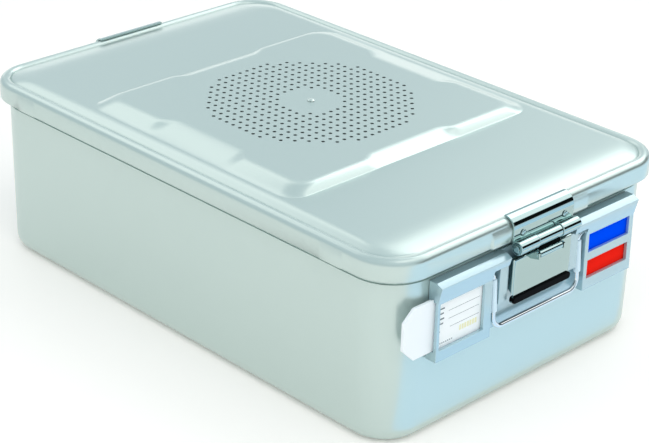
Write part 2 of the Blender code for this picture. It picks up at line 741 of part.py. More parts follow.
def make_card():
    low, high, back = pocket_levels(CARD_WINDOW_TOP, CARD_WINDOW_HEIGHT)
    inner = -CARD_WINDOW_INNER + POCKET_BORDER - GAP
    shoulder = -PANEL_HALF_WIDTH - GAP
    tab = -PANEL_HALF_WIDTH - CARRIER_TAB_OUT
    chamfer = CARRIER_TAB_CHAMFER
    corner = TAB_BOTTOM_CHAMFER_SHARE * chamfer
    outline = ((inner, low), (inner, high), (shoulder, high), (shoulder, high + CARRIER_TAB_EXTRA),
               (tab + chamfer, high + CARRIER_TAB_EXTRA), (tab, high - TAB_TOP_CHAMFER_SHARE * chamfer),
               (tab, low + corner), (tab + corner, low))
    carrier = outline_solid("label_carrier", outline, -back - CARRIER_SHEET, -back, "Y")
    card_back = back + CARRIER_SHEET + GAP
    card = box("label_card", front(-CARD_WINDOW_OUTER, card_back + CARD_SHEET, low + GAP),
               front(inner - GAP, card_back, high - GAP))
    paint(carrier, "white_plastic")
    paint(card, "card")


def make_tag(name, window_top, material):
    low, high, back = pocket_levels(window_top, TAG_WINDOW_HEIGHT)
    inner = TAG_WINDOW_INNER - POCKET_BORDER + GAP
    tag = box(name, front(inner, back + TAG_SHEET, low), front(PANEL_HALF_WIDTH, back, high))
    paint(tag, material)


# Bail handle

def bend_points(corner, into, out, radius):
    """Points of a round bend at a corner, from direction into to direction out."""
    corner, into, out = Vector(corner), Vector(into).normalized(), Vector(out).normalized()
    half = 0.5 * into.angle(out)
    reach = radius * math.tan(half)
    start = corner - into * reach
    centre = start + (out - into * into.dot(out)).normalized() * radius
    points = []
    for step in range(BEND_STEPS + 1):
        angle = 2.0 * half * step / BEND_STEPS
        arm = (start - centre) * math.cos(angle) + into * radius * math.sin(angle)
        points.append(centre + arm)
    return points


def bail_route():
    """The wire from one pivot end, down a leg, along the grip bar and up again."""
    end = Vector(front(-PANEL_CENTRE_HALF - BAIL_PIVOT_DEPTH, BAIL_Y, BAIL_Z))
    top = Vector(front(-BAIL_HALF, BAIL_Y, BAIL_Z))
    low = Vector(front(-BAIL_HALF, BAIL_Y + BAIL_LEAN, BAIL_Z - BAIL_DROP))
    leg = low - top
    half = [end]
    half += bend_points(top, top - end, leg, BAIL_PIVOT_BEND)
    half += bend_points(low, leg, Vector((1.0, 0.0, 0.0)), BAIL_BEND)
    return half + [Vector((-p.x, p.y, p.z)) for p in reversed(half)]


def make_bail():
    curve = bpy.data.curves.new("front_bail", "CURVE")
    curve.dimensions = "3D"
    curve.bevel_depth = WIRE_RADIUS
    curve.bevel_resolution = 2
    curve.use_fill_caps = True
    pivot = Vector(front(0.0, BAIL_Y, BAIL_Z))
    points = [point - pivot for point in bail_route()]
    spline = curve.splines.new("POLY")
    spline.points.add(len(points) - 1)
    for target, point in zip(spline.points, points):
        target.co = (*point, 1.0)
    bail = bpy.data.objects.new("front_bail", curve)
    PARTS.objects.link(bail)
    bail.location = pivot
    return paint(bail, "chrome")


def make_sleeve(name, side):
    """A plastic tube round one leg of the bail."""
    top = Vector(front(side * BAIL_HALF, BAIL_Y, BAIL_Z))
    low = Vector(front(side * BAIL_HALF, BAIL_Y + BAIL_LEAN, BAIL_Z - BAIL_DROP))
    leg = (low - top).normalized()
    start = top + leg * SLEEVE_TOP
    end = start + leg * SLEEVE_LENGTH
    sleeve = rod(name, start, end, WIRE_RADIUS + GAP + SLEEVE_WALL)
    bore = rod(name + "_bore", start - leg * OVERRUN, end + leg * OVERRUN, WIRE_RADIUS + GAP)
    carve(sleeve, bore)
    settle(sleeve)
    return move_origin(paint(sleeve, "grey_plastic"), front(0.0, BAIL_Y, BAIL_Z))


# Toggle latch

def bracket_rivet_z():
    return SKIRT_BOTTOM + BRACKET_RIVET_RISE


def keeper_rivet_z():
    return LEVER_TOP - 0.5 * KEEPER_NOSE - 0.5 * KEEPER_FOOT


def keeper_rivet_places():
    return (("left", -KEEPER_RIVET_X), ("right", KEEPER_RIVET_X))


def bracket_outline():
    """Section of the plate that wraps over the rim and runs down the skirt."""
    top = RIM_TOP + GAP
    centre_out = BRACKET_BACK - BRACKET_RADIUS
    centre_z = top - BRACKET_RADIUS
    inner, outer = [], []
    for step in range(ARC_STEPS + 1):
        angle = 0.5 * math.pi * step / ARC_STEPS
        for points, radius in ((inner, BRACKET_RADIUS), (outer, BRACKET_RADIUS + BRACKET_SHEET)):
            points.append((centre_out + radius * math.sin(angle), centre_z + radius * math.cos(angle)))
    start = centre_out - BRACKET_REACH
    return ([(start, top)] + inner + [(BRACKET_BACK, HINGE_Z), (BRACKET_BACK + BRACKET_SHEET, HINGE_Z)]
            + list(reversed(outer)) + [(start, top + BRACKET_SHEET)])


def make_bracket():
    bracket = outline_solid("front_lid_bracket", bracket_outline(), -BRACKET_HALF, BRACKET_HALF)
    gap_half = KNUCKLE_HALF_MIDDLE + GAP
    cut_box(bracket, "bracket_notch", -gap_half, gap_half, BRACKET_BACK - OVERRUN,
            BRACKET_BACK + BRACKET_SHEET + OVERRUN, HINGE_Z - OVERRUN, HINGE_Z + KNUCKLE_RADIUS + GAP)
    for name, x0, x1 in (("left", -BRACKET_HALF, -gap_half), ("right", gap_half, BRACKET_HALF)):
        knuckle = rod("bracket_knuckle_" + name, front(x0, HINGE_Y, HINGE_Z), front(x1, HINGE_Y, HINGE_Z),
                      KNUCKLE_RADIUS, KNUCKLE_STEPS)
        carve(bracket, knuckle, "UNION")
    bore = rod("bracket_bore", front(-BRACKET_HALF - OVERRUN, HINGE_Y, HINGE_Z),
               front(BRACKET_HALF + OVERRUN, HINGE_Y, HINGE_Z), HINGE_PIN_RADIUS + GAP)
    carve(bracket, bore)
    bm = bmesh.new()
    for x in (-BRACKET_RIVET_X, BRACKET_RIVET_X):
        rod_into(bm, front(x, BRACKET_BACK - OVERRUN, bracket_rivet_z()),
                 front(x, BRACKET_BACK + BRACKET_SHEET + OVERRUN, bracket_rivet_z()), RIVET_RADIUS + GAP,
                 RIVET_STEPS)
    carve(bracket, link_mesh("bracket_rivet_holes", bm))
    return settle(paint(bracket, "stainless"))


def make_rivet(name, x, z, inner, outer):
    """A rivet with a domed head outside and an upset tail inside."""
    bm = bmesh.new()
    head = outer + GAP
    rod_into(bm, front(x, inner - GAP - RIVET_TAIL, z), front(x, head + 0.5 * RIVET_HEAD_HEIGHT, z),
             RIVET_RADIUS, RIVET_STEPS)
    rivet = link_mesh(name, bm)
    bm = bmesh.new()
    rod_into(bm, front(x, head, z), front(x, head + RIVET_HEAD_HEIGHT, z), RIVET_HEAD_RADIUS,
             steps=RIVET_STEPS, end_radius=RIVET_CROWN_SHARE * RIVET_HEAD_RADIUS)
    carve(rivet, link_mesh(name + "_head", bm), "UNION")
    tail = rod(name + "_tail", front(x, inner - GAP - RIVET_TAIL, z), front(x, inner - GAP, z),
               0.5 * (RIVET_RADIUS + RIVET_HEAD_RADIUS), RIVET_STEPS)
    carve(rivet, tail, "UNION")
    return settle(paint(rivet, "stainless"))


def make_hinge_pin():
    reach = BRACKET_HALF + GAP
    pin = rod("front_hinge_pin", front(-reach, HINGE_Y, HINGE_Z), front(reach, HINGE_Y, HINGE_Z),
              HINGE_PIN_RADIUS)
    for name, side in (("left", -1), ("right", 1)):
        head = rod("pin_head_" + name, front(side * reach, HINGE_Y, HINGE_Z),
                   front(side * (reach + HINGE_PIN_HEAD_LENGTH), HINGE_Y, HINGE_Z), HINGE_PIN_HEAD)
        carve(pin, head, "UNION")
    return settle(paint(pin, "stainless"))


def make_link():
    """The short link between the hinge pin and the lever's pin."""
    half = KNUCKLE_HALF_MIDDLE
    link = rod("front_latch_link", front(-half, HINGE_Y, HINGE_Z), front(half, HINGE_Y, HINGE_Z),
               KNUCKLE_RADIUS, KNUCKLE_STEPS)
    strap_out = 0.5 * LINK_STRAP
    strap_top = HINGE_Z - HINGE_PIN_RADIUS - GAP
    strap = outline_solid("link_strap", (
        (HINGE_Y - strap_out, strap_top), (HINGE_Y + strap_out, strap_top),
        (LINK_Y + strap_out, LINK_Z), (LINK_Y - strap_out, LINK_Z),
    ), -half + strap_out, half - strap_out)
    carve(link, strap, "UNION")
    roll = rod("link_roll", front(-half + strap_out, LINK_Y, LINK_Z),
               front(half - strap_out, LINK_Y, LINK_Z), LINK_ROLL_RADIUS)
    carve(link, roll, "UNION")
    for name, y, z, radius in (("hinge", HINGE_Y, HINGE_Z, HINGE_PIN_RADIUS),
                               ("lever", LINK_Y, LINK_Z, LINK_PIN_RADIUS)):
        bore = rod("link_bore_" + name, front(-half - OVERRUN, y, z), front(half + OVERRUN, y, z),
                   radius + GAP)
        carve(link, bore)
    settle(paint(link, "stainless"))
    return move_origin(link, front(0.0, HINGE_Y, HINGE_Z))


def make_link_pin():
    reach = KNUCKLE_HALF_MIDDLE + GAP + EAR_SHEET + GAP
    pin = rod("front_link_pin", front(-reach, LINK_Y, LINK_Z), front(reach, LINK_Y, LINK_Z), LINK_PIN_RADIUS)
    paint(pin, "stainless")
    return move_origin(pin, front(0.0, LINK_Y, LINK_Z))


def lever_outline():
    """Section of the lever: a plate whose top edge is bent back towards the keeper."""
    back = LEVER_FACE - LEVER_SHEET
    return ((back, LEVER_BOTTOM), (LEVER_FACE, LEVER_BOTTOM), (LEVER_FACE, LEVER_TOP),
            (LEVER_LIP_TIP, LEVER_TOP), (LEVER_LIP_TIP, LEVER_TOP - LEVER_SHEET),
            (back, LEVER_TOP - LEVER_SHEET))


def make_lever():
    lever = outline_solid("front_latch_lever", lever_outline(), -LEVER_HALF, LEVER_HALF)
    flange_low = LEVER_BOTTOM + LEVER_FLANGE_STOP
    for name, side in (("left", -1), ("right", 1)):
        edges = sorted((side * LEVER_HALF, side * (LEVER_HALF - LEVER_SHEET)))
        flange = outline_solid("lever_flange_" + name, (
            (LEVER_FACE - LEVER_FLANGE, flange_low + LEVER_FLANGE), (LEVER_FACE, flange_low),
            (LEVER_FACE, LEVER_TOP), (LEVER_FACE - LEVER_FLANGE, LEVER_TOP),
        ), *edges)
        carve(lever, flange, "UNION")
        inner = KNUCKLE_HALF_MIDDLE + GAP
        edges = sorted((side * inner, side * (inner + EAR_SHEET)))
        ear = outline_solid("lever_ear_" + name, (
            (LEVER_FACE - 0.5 * LEVER_SHEET, LINK_Z - EAR_DROP), (LINK_Y + EAR_RADIUS, LINK_Z - EAR_RADIUS),
            (LINK_Y + EAR_RADIUS, LINK_Z + EAR_CORNER_SHARE * EAR_RADIUS), (LINK_Y, LINK_Z + EAR_RADIUS),
            (LEVER_FACE - 0.5 * LEVER_SHEET, LEVER_TOP - 0.5 * LEVER_SHEET),
        ), *edges)
        carve(lever, ear, "UNION")
    eye_right = -KNUCKLE_HALF_MIDDLE - GAP
    eye_top = LEVER_TOP - SEAL_EYE_DROP + SEAL_EYE_HEIGHT
    eye_out = LINK_Y + 0.5 * EAR_RADIUS
    eye = box("lever_seal_eye", front(eye_right - SEAL_EYE_WIDTH, eye_out, eye_top - SEAL_EYE_HEIGHT),
              front(eye_right, LEVER_FACE - 0.5 * LEVER_SHEET, eye_top - SEAL_EYE_HEIGHT + LEVER_SHEET))
    carve(lever, eye, "UNION")
    hole_x = eye_right - EAR_SHEET - 0.5 * (SEAL_EYE_WIDTH - EAR_SHEET)
    hole_out = 0.5 * (eye_out + LEVER_FACE)
    hole = rod("lever_seal_hole", front(hole_x, hole_out, eye_top - SEAL_EYE_HEIGHT - OVERRUN),
               front(hole_x, hole_out, eye_top + OVERRUN), SEAL_EYE_HOLE, RIVET_STEPS)
    carve(lever, hole)
    bore = rod("lever_bore", front(-LEVER_HALF, LINK_Y, LINK_Z), front(LEVER_HALF, LINK_Y, LINK_Z),
               LINK_PIN_RADIUS + GAP)
    carve(lever, bore)
    settle(paint(lever, "stainless"))
    return move_origin(lever, front(0.0, LINK_Y, LINK_Z))


def make_grip():
    """A black strip clipped over the lever's lower edge."""
    outer_face = LEVER_FACE + GAP + GRIP_WALL
    inner_face = LEVER_FACE - LEVER_SHEET - GAP - GRIP_WALL
    low = LEVER_BOTTOM - GAP - GRIP_BELOW
    high = low + GRIP_HEIGHT
    slot_out, slot_in = LEVER_FACE + GAP, LEVER_FACE - LEVER_SHEET - GAP
    slot_low = LEVER_BOTTOM - GAP
    outline = ((inner_face, low), (outer_face, low), (outer_face, high), (slot_out, high),
               (slot_out, slot_low), (slot_in, slot_low), (slot_in, high), (inner_face, high))
    grip = outline_solid("front_lever_grip", outline, -LEVER_HALF, LEVER_HALF)
    paint(grip, "black_rubber")
    return move_origin(grip, front(0.0, LINK_Y, LINK_Z))


def make_keeper():
    """The catch on the panel's plate: a foot with a nose that the lever's lip snaps past."""
    nose_high = LEVER_TOP + 0.5 * KEEPER_NOSE
    nose_low = LEVER_TOP - 0.5 * KEEPER_NOSE
    outline = ((KEEPER_BACK, nose_low - KEEPER_FOOT), (KEEPER_BACK + KEEPER_SHEET, nose_low - KEEPER_FOOT),
               (KEEPER_BACK + KEEPER_SHEET, nose_low),
               (KEEPER_TIP, nose_low + KEEPER_NOSE_CHAMFER_SHARE * KEEPER_NOSE),
               (KEEPER_TIP, nose_high), (KEEPER_BACK, nose_high))
    keeper = outline_solid("front_keeper", outline, -KEEPER_HALF, KEEPER_HALF)
    bm = bmesh.new()
    for _, x in keeper_rivet_places():
        rod_into(bm, front(x, KEEPER_BACK - OVERRUN, keeper_rivet_z()),
                 front(x, KEEPER_BACK + KEEPER_SHEET + OVERRUN, keeper_rivet_z()), RIVET_RADIUS + GAP,
                 RIVET_STEPS)
    carve(keeper, link_mesh("keeper_rivet_holes", bm))
    return settle(paint(keeper, "stainless"))


def make_front_end():
    """Every piece of the labelled end that the rear end repeats."""
    pieces = [make_panel(), make_bail(), make_sleeve("front_sleeve_left", -1),
              make_sleeve("front_sleeve_right", 1), make_bracket(), make_hinge_pin(), make_link(),
              make_link_pin(), make_lever(), make_grip(), make_keeper()]
    skirt_inner = LID_HALF_Y + PAD_END_OUT - LID_SHEET
    for side, x in (("left", -BRACKET_RIVET_X), ("right", BRACKET_RIVET_X)):
        pieces.append(make_rivet("front_bracket_rivet_" + side, x, bracket_rivet_z(), skirt_inner,
                                 BRACKET_BACK + BRACKET_SHEET))
    for side, x in keeper_rivet_places():
        pieces.append(make_rivet("front_keeper_rivet_" + side, x, keeper_rivet_z(), END_WALL - BASE_WALL,
                                 KEEPER_BACK + KEEPER_SHEET))
    return pieces


def make_rear_end(pieces):
    """The same pieces at the other end, turned half round the vertical axis."""
    turn = bpy.data.objects.new("rear_end", None)
    PARTS.objects.link(turn)
    turn.rotation_euler = (0.0, 0.0, math.pi)
    for piece in pieces:
        twin = bpy.data.objects.new(piece.name.replace("front_", "rear_"), piece.data)
        twin.location = piece.location
        twin.parent = turn
        PARTS.objects.link(twin)


clear_scene()
PARTS = new_collection(OBJECT_NAME)
CUTTERS = new_collection("cutters")
MADE = make_materials()
make_base()
make_lid()
make_gasket()
make_filter()
make_rear_end([smooth(piece) for piece in make_front_end()])
make_card()
make_tag("blue_tag", BLUE_WINDOW_TOP, "blue_plastic")
make_tag("red_tag", RED_WINDOW_TOP, "red_plastic")
bpy.context.view_layer.update()
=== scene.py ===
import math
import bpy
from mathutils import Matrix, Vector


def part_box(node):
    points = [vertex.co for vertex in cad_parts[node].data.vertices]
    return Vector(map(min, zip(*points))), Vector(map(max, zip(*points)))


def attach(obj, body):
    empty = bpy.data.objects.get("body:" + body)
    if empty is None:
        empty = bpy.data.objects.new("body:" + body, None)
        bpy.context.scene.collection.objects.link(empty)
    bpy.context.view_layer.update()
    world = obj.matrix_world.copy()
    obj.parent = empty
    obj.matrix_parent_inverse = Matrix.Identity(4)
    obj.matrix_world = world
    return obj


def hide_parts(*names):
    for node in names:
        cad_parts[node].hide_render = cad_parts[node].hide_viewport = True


bl_info = {
    "name": "Sterilization Container",
    "version": (1, 0, 0),
    "blender": (4, 5, 0),
    "location": "View3D > Sidebar > Container",
    "description": "Dresses the sterilization container's CAD frame with finished pieces",
    "category": "Add Mesh",
}

import bmesh
import bpy
from mathutils import Matrix, Vector

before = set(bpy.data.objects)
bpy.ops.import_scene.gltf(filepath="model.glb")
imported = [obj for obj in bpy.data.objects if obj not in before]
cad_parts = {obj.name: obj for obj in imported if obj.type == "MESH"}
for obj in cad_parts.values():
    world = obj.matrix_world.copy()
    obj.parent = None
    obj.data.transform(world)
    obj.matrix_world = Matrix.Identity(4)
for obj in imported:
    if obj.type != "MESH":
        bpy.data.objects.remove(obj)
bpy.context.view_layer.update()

# Lengths are in millimetres, and MM turns them into Blender's metres. "Out" is the distance
# from the container's middle towards the labelled end.
MM = 0.001

# Tolerances: for merging points, for finding points at a known place, and for reading levels
MERGE_CAD, MERGE_TURNED = 0.00001, 0.0000001
NEAR, CLOSE_TO = 0.01, 0.1

# Angles in degrees: faces below the first are one, edges above the others are rounded or
# shown sharp
FLAT_LIMIT, SOFT_LIMIT, EDGE_LIMIT, BLOCK_LIMIT, SHEET_LIMIT = 1.0, 20.0, 30.0, 40.0, 60.0
SMOOTH_FLAT, SMOOTH_CAD, SMOOTH_PRESSED = 14.0, 35.0, 50.0

# Base
BASE_HALF_X, BASE_HALF_Y, BASE_CORNER = 146.0, 226.0, 34.0
LIP_TOP, LIP_LAND, LIP_FOOT, LIP_OUT = 143.0, 140.9, 138.5, 2.3
BASE_DRAFT, BOTTOM_RADIUS, FOOT_FLAT = 1.0, 13.0, 3.0
FOOT_STEPS, CORNER_STEPS = 10, 20
SHADOW_LINE, SHADOW_DEPTH = (131.0, 130.7, 129.7, 129.4), 0.9

# Lid: the steps are (inset at the sides, inset at the ends, height)
LID_HALF_X, LID_HALF_Y, LID_CORNER = 152.0, 232.0, 36.0
SKIRT_BOTTOM, SKIRT_TOP, RIM_FOOT = 134.5, 144.5, 146.5
HEM, HEM_HEIGHT = ((0.15, 0.7), (0.5, 0.3), (1.2, 0.0)), 1.2
RIM_ANGLES = (15, 30, 45, 60, 75, 90, 105, 120, 131)
GROOVE_INSET, GROOVE_FLOOR = 8.9, 149.3
ROLL_OFF = ((9.3, 9.3, 149.95), (10.8, 12.2, 150.6), (12.5, 17.0, 151.4), (14.3, 22.0, 152.1),
            (16.2, 27.0, 152.55), (18.2, 32.0, 152.8), (20.0, 39.0, 152.9), (20.3, 39.3, 152.9))
ROLL_OFF_BLEND = 60.0
DECK_TOP = 152.9
FIELD_HALF_X, FIELD_HALF_Y, FIELD_CORNER, FIELD_SHIFT = 131.4, 116.7, 16.0, 4.5
FIELD_CORNER_STEPS, FIELD_CORNER_REACH = 12, 48.0
FIELD_STEPS = ((0.2, 0.2, 0.0), (2.0, 0.6, 0.3), (4.0, 1.1, 0.85), (6.5, 2.2, 1.85),
               (9.5, 3.8, 3.15), (12.5, 5.3, 4.3), (14.5, 6.5, 4.92), (16.8, 8.2, 5.3),
               (19.1, 10.4, 5.5), (19.4, 10.7, 5.5))
NOTCH_END, NOTCH_SIDE = (51.0, 6.0), (50.0, 9.0)
NOTCH_RAMP, NOTCH_RAMP_STEPS = 16.0, 8
END_PAD_HALF, SIDE_PAD_CENTRE, SIDE_PAD_HALF, PAD_RAMP = 52.0, 173.0, 10.0, 1.5

# Perforations
HOLE_PITCH, HOLE_ROWS, HOLE_CUTS = 7.5, 24, 3
HOLE_OUTER, HOLE_INNER = 84.0, 26.2
HOLE_FLARE, HOLE_REACH, HOLE_LEVEL = 1.4, 0.1, 0.05

# End panel, and the slotted pads beside the lever
PLATE_FACE, PANEL_TOP = 228.1, 128.0
RIDGE_OUT, RIDGE_CHAMFER, RIDGE_SHIFT, RIDGE_BAND = 239.3, 2.6, 3.6, 0.05
PAD_ACROSS, PAD_HEIGHTS, PAD_OUT, PAD_SEAT = (34.6, 43.4), (89.0, 118.8), 234.6, 0.8
PAD_BORDER, PAD_EDGE, SLOT_CORNER, SLOT_CORNER_STEPS, SLOT_DEPTH = 1.7, 0.45, 2.6, 6, 1.8

# Card and its tab. The print is rules, marks, dots and a tinted field, as (x0, x1, z0, z1).
CARD_FACE, PRINT_PROUD = 232.6, 0.04
PRINT_RULES = ((-94.3, -61.7, 101.6, 101.9), (-94.0, -62.0, 95.2, 95.5),
               (-92.0, -61.7, 88.3, 88.6))
PRINT_MARKS = tuple((-103.4, x1, z, z + 1.1) for x1, z in
                    ((-98.6, 105.0), (-99.4, 101.2), (-98.6, 97.0), (-99.4, 93.2), (-102.2, 87.0)))
PRINT_DOTS = tuple((-102.0 + 2.0 * n, -100.9 + 2.0 * n, 77.6, 78.4) for n in range(7))
PRINT_FIELD = tuple((-82.0 + 2.7 * n, -80.1 + 2.7 * n, 81.6, 85.8) for n in range(7))
TAB_BACK, TAB_FACE, TAB_ACROSS, TAB_MIDDLE, TAB_SPREAD = 229.3, 231.84, -110.6, 10.0, 1.002
TAB_ROUNDING, TAG_ROUNDING = 0.35, 0.3

# Handle
BAIL_HALF, BAIL_OUT, BAIL_Z, BAIL_DROP, BAIL_LEAN = 47.0, 231.3, 114.0, 43.5, 2.8
PIVOT_END, PIVOT_BEND, BAIL_BEND = 53.5, 4.0, 9.0
SLEEVE_RADIUS, SLEEVE_DROP, SLEEVE_LENGTH, SLEEVE_GAP, SLEEVE_EDGE = 2.8, 4.5, 25.5, 0.1, 0.35

# Turned and bent parts: how a softened rim is shared, and how round a part is
RIM_SHARE, ROUND_STEPS, RIVET_STEPS, BEND_STEPS = 0.3, 32, 28, 14
TUBE_EDGE, PIN_EDGE = 0.3, 0.2

# Rivets: the shank's radii as shares of the head's, the foot's height, and the head's section
# as (share of its radius, share of its height below the top)
RIVET_FOOT_SHARE, RIVET_SHANK_SHARE, RIVET_FOOT, RIVET_HEAD = 0.75, 0.54, 0.9, 1.0
RIVET_HEAD_SHARES = ((0.96, 1.0), (1.0, 0.85), (0.94, 0.5), (0.75, 0.15), (0.52, 0.0),
                     (0.3, 0.0), (0.2, 0.35), (0.0, 0.4))

# Lid bracket with its knuckles and pin
BRACKET_HALF, BRACKET_FACE, BRACKET_TOP, BRACKET_BACK = 33.0, 235.8, 153.3, 225.5
BRACKET_LAP, BRACKET_BEND, BRACKET_SHEET = 2.0, 8.8, 1.5
HINGE_OUT, HINGE_Z = 239.5, 131.5
KNUCKLE_RADIUS, OUTER_KNUCKLE_RADIUS, KNUCKLE_BORE = 4.5, 5.1, 2.1
KNUCKLE_EDGE, KNUCKLE_GAP, MIDDLE_HALF = 0.5, 0.3, 12.8
PIN_RADIUS, PIN_HEAD, PIN_HEAD_RADIUS = 1.8, (33.3, 34.1), 2.6

# Latch link
LINK_OUT, LINK_Z, ROLL_RADIUS, ROLL_BORE = 242.5, 121.5, 2.8, 1.6
STRAP_MARGIN, STRAP_HALF_SHEET, STRAP_TOP, STRAP_FOOT = 0.7, 0.7, 2.2, 2.0
LINK_PIN_HALF, LINK_PIN_RADIUS = 14.8, 1.3

# Lever and its grip
LEVER_FACE, LEVER_TOP, LEVER_BOTTOM, LEVER_HALF = 237.5, 121.5, 87.5, 32.0
LEVER_FLANGE, LEVER_FLANGE_FOOT, LEVER_LIP_TIP = 4.2, 93.0, 233.0
LEVER_SHEET, LEVER_FOLD, LEVER_FOLD_STEPS = 1.2, 1.3, 5
EAR_INNER, EAR_SHEET, EAR_SEAT, EAR_FOOT, EAR_REACH, EAR_SHOULDER = 13.1, 1.4, 0.6, 4.5, 2.6, 1.6
GRIP_OUT, GRIP_HEIGHTS, GRIP_HALF = (234.8, 239.1), (86.1, 91.5), 31.9
GRIP_END, GRIP_END_STEPS, GRIP_EDGE = 2.2, 6, 0.4

# Camera, fitted to the photograph, in degrees, pixels and metres
PHOTO_WIDTH = 649
FOCAL_PIXELS = 1952.4
CAMERA_TURN = (-45.115, -26.10, 1.76)
CAMERA_PLACE = (-0.99752, -1.00825, 0.74905)
SENSOR_WIDTH = 36.0

# Lamps: name, place as (azimuth, elevation, metres), width, height, watts
LAMPS = (("key", (-30.0, 55.0, 1.9), 1.6, 1.2, 4.0),
         ("side_fill", (80.0, 55.0, 1.9), 1.4, 0.8, 1.5),
         ("front_fill", (-130.0, 50.0, 2.3), 1.8, 1.8, 18.0))
LAMP_TARGET, ROOM_MIDDLE = (0.0, 0.0, 0.12), 0.14

# Cards that only reflections see: name, azimuth from and to, elevation from and to, strength
CARDS = (("white_card", -14.0, 26.0, 26.0, 52.0, 2.7), ("near_card", 26.0, 38.0, 32.0, 52.0, 2.2),
         ("pale_card", -46.0, -14.0, 26.0, 50.0, 1.6), ("side_card", 52.0, 120.0, 33.0, 52.0, 1.5),
         ("far_card", 25.0, 75.0, -1.5, 12.0, 1.5), ("top_card", -120.0, 0.0, 53.0, 80.0, 1.4),
         ("black_card", -80.0, 0.0, 2.0, 24.5, 0.0))
CARD_DISTANCE, CARD_STEPS = 4.0, 12

# Tinted card on the floor, with its opening
FLOOR_CARD_ACROSS = (-140.0, 80.0, 305.0, 2200.0)
FLOOR_CARD_OUT = (236.0, 315.0, 450.0, 2200.0)
FLOOR_CARD_COLOUR, FLOOR_CARD_STRENGTH, FLOOR_CARD_HEIGHT = (0.64, 0.83, 1.0), 1.36, 0.5

# Floor, room and the plastic's clear sheen
FLOOR_HALF, FLOOR_GLOW, FLOOR_ROUGHNESS, FLOOR_SPECULAR = 8.0, 0.14, 0.9, 0.1
ROOM_COLOUR, ROOM_STRENGTH = (0.81, 0.93, 1.0, 1.0), 0.79
COAT_ROUGHNESS = 0.12


def linear(red, green, blue):
    """Screen colour values from 0 to 255 as linear ones."""
    shares = (value / 255.0 for value in (red, green, blue))
    return tuple(s / 12.92 if s <= 0.04045 else ((s + 0.055) / 1.055) ** 2.4 for s in shares)


def size_prop(name, description, value):
    return bpy.props.FloatProperty(name=name, description=description, default=value * MM,
                                   min=0.0, unit="LENGTH", subtype="DISTANCE", precision=5)


def colour_prop(name, description, value):
    return bpy.props.FloatVectorProperty(name=name, description=description,
                                         default=linear(*value), min=0.0, max=1.0, size=3,
                                         subtype="COLOR")


class ContainerSizes(bpy.types.PropertyGroup):
    """Sizes that a user would change."""
    base_sheet: size_prop("Base sheet", "Thickness of the base's wall", 1.8)
    lid_sheet: size_prop("Lid sheet", "Thickness of the lid's sheet", 1.5)
    rim_radius: size_prop("Rim radius", "Radius of the lid's rolled rim", 5.0)
    hole_diameter: size_prop("Hole diameter", "Diameter of the lid's perforations", 3.0)
    wire_diameter: size_prop("Wire diameter", "Diameter of the handle's wire", 3.8)
    panel_rounding: size_prop("Panel rounding", "Rounding of the end panels' edges", 0.9)
    metal_rounding: size_prop("Metal rounding", "Rounding of the latch's sheet edges", 0.3)
    end_pad_out: size_prop("End pad", "How far the pads stand out on the lid's ends", 2.0)
    side_pad_out: size_prop("Side pad", "How far the pads stand out on the lid's sides", 1.0)


class ContainerColours(bpy.types.PropertyGroup):
    """Colours of the finishes."""
    aluminium: colour_prop("Aluminium", "Anodized aluminium of base and lid", (197, 212, 207))
    stainless: colour_prop("Stainless", "Stainless steel of the latches", (168, 190, 189))
    wire: colour_prop("Wire", "Bright wire of the handles", (214, 220, 222))
    grey_plastic: colour_prop("Grey plastic", "Moulded end panels and knob", (168, 196, 204))
    # The sleeves' colour is painted lighter than the panel's grey plastic they are made of. It is
    # painted light that offsets the shade of the recess they stand in.
    sleeve_painted_light: colour_prop("Sleeves", "Plastic tubes on the handles' legs", (214, 234, 244))
    white_plastic: colour_prop("White plastic", "Tab that carries the card", (247, 250, 252))
    card: colour_prop("Card", "Paper of the label card", (250, 252, 252))
    card_print: colour_prop("Card print", "Ruled lines on the card", (96, 108, 112))
    card_block: colour_prop("Card block", "Tinted field on the card", (240, 236, 190))
    blue: colour_prop("Blue tag", "Blue plastic tag", (0, 80, 255))
    red: colour_prop("Red tag", "Red plastic tag", (255, 38, 26))
    black: colour_prop("Grip", "Black strip on the lever's edge", (3, 3, 4))
    silicone: colour_prop("Seal", "Silicone seal in the lid", (206, 206, 200))
    # The filter sheet's near-black colour is painted shade: it stands for the shade seen down the
    # perforations, not the sheet's own colour.
    paper_painted_shade: colour_prop("Filter paper", "Filter sheet under the holes", (20, 26, 28))
    floor: colour_prop("Floor", "Plain floor", (255, 247, 240))


def sizes():
    return bpy.context.scene.container_sizes


def colours():
    return bpy.context.scene.container_colours


# Shapes

def at(x, out, z):
    """A point at the labelled end: across, out from the container's middle, and up."""
    return Vector((x, -out, z)) * MM


def plate(bm, points):
    """One flat face through a few corner points."""
    face = bm.faces.new([bm.verts.new(point) for point in points])
    face.normal_update()
    return face


def upright(bm, x0, x1, z0, z1, out, deep):
    """A block that stands in the labelled end's plane, made towards the outside."""
    return block(bm, [at(x, out, z) for x, z in ((x0, z0), (x1, z0), (x1, z1), (x0, z1))],
                 at(0.0, deep, 0.0))


def only(kind, geometry):
    return [item for item in geometry if isinstance(item, kind)]


def block(bm, points, depth):
    """A closed solid: a plate pushed through by a vector."""
    face = plate(bm, points)
    made = bmesh.ops.extrude_face_region(bm, geom=[face])["geom"]
    bmesh.ops.translate(bm, vec=depth, verts=only(bmesh.types.BMVert, made))
    faces = {f for v in only(bmesh.types.BMVert, made) for f in v.link_faces} | {face}
    bmesh.ops.recalc_face_normals(bm, faces=list(faces))
    return list(faces)


def round_edges(bm, edges, radius, segments=3):
    if edges:
        bmesh.ops.bevel(bm, geom=edges, offset=radius * MM, offset_type="OFFSET",
                        segments=segments, profile=0.5, affect="EDGES", clamp_overlap=True,
                        material=-1)


def sharp_edges(bm, degrees=EDGE_LIMIT):
    limit = math.radians(degrees)
    return [e for e in bm.edges if len(e.link_faces) == 2 and e.calc_face_angle(0.0) > limit]


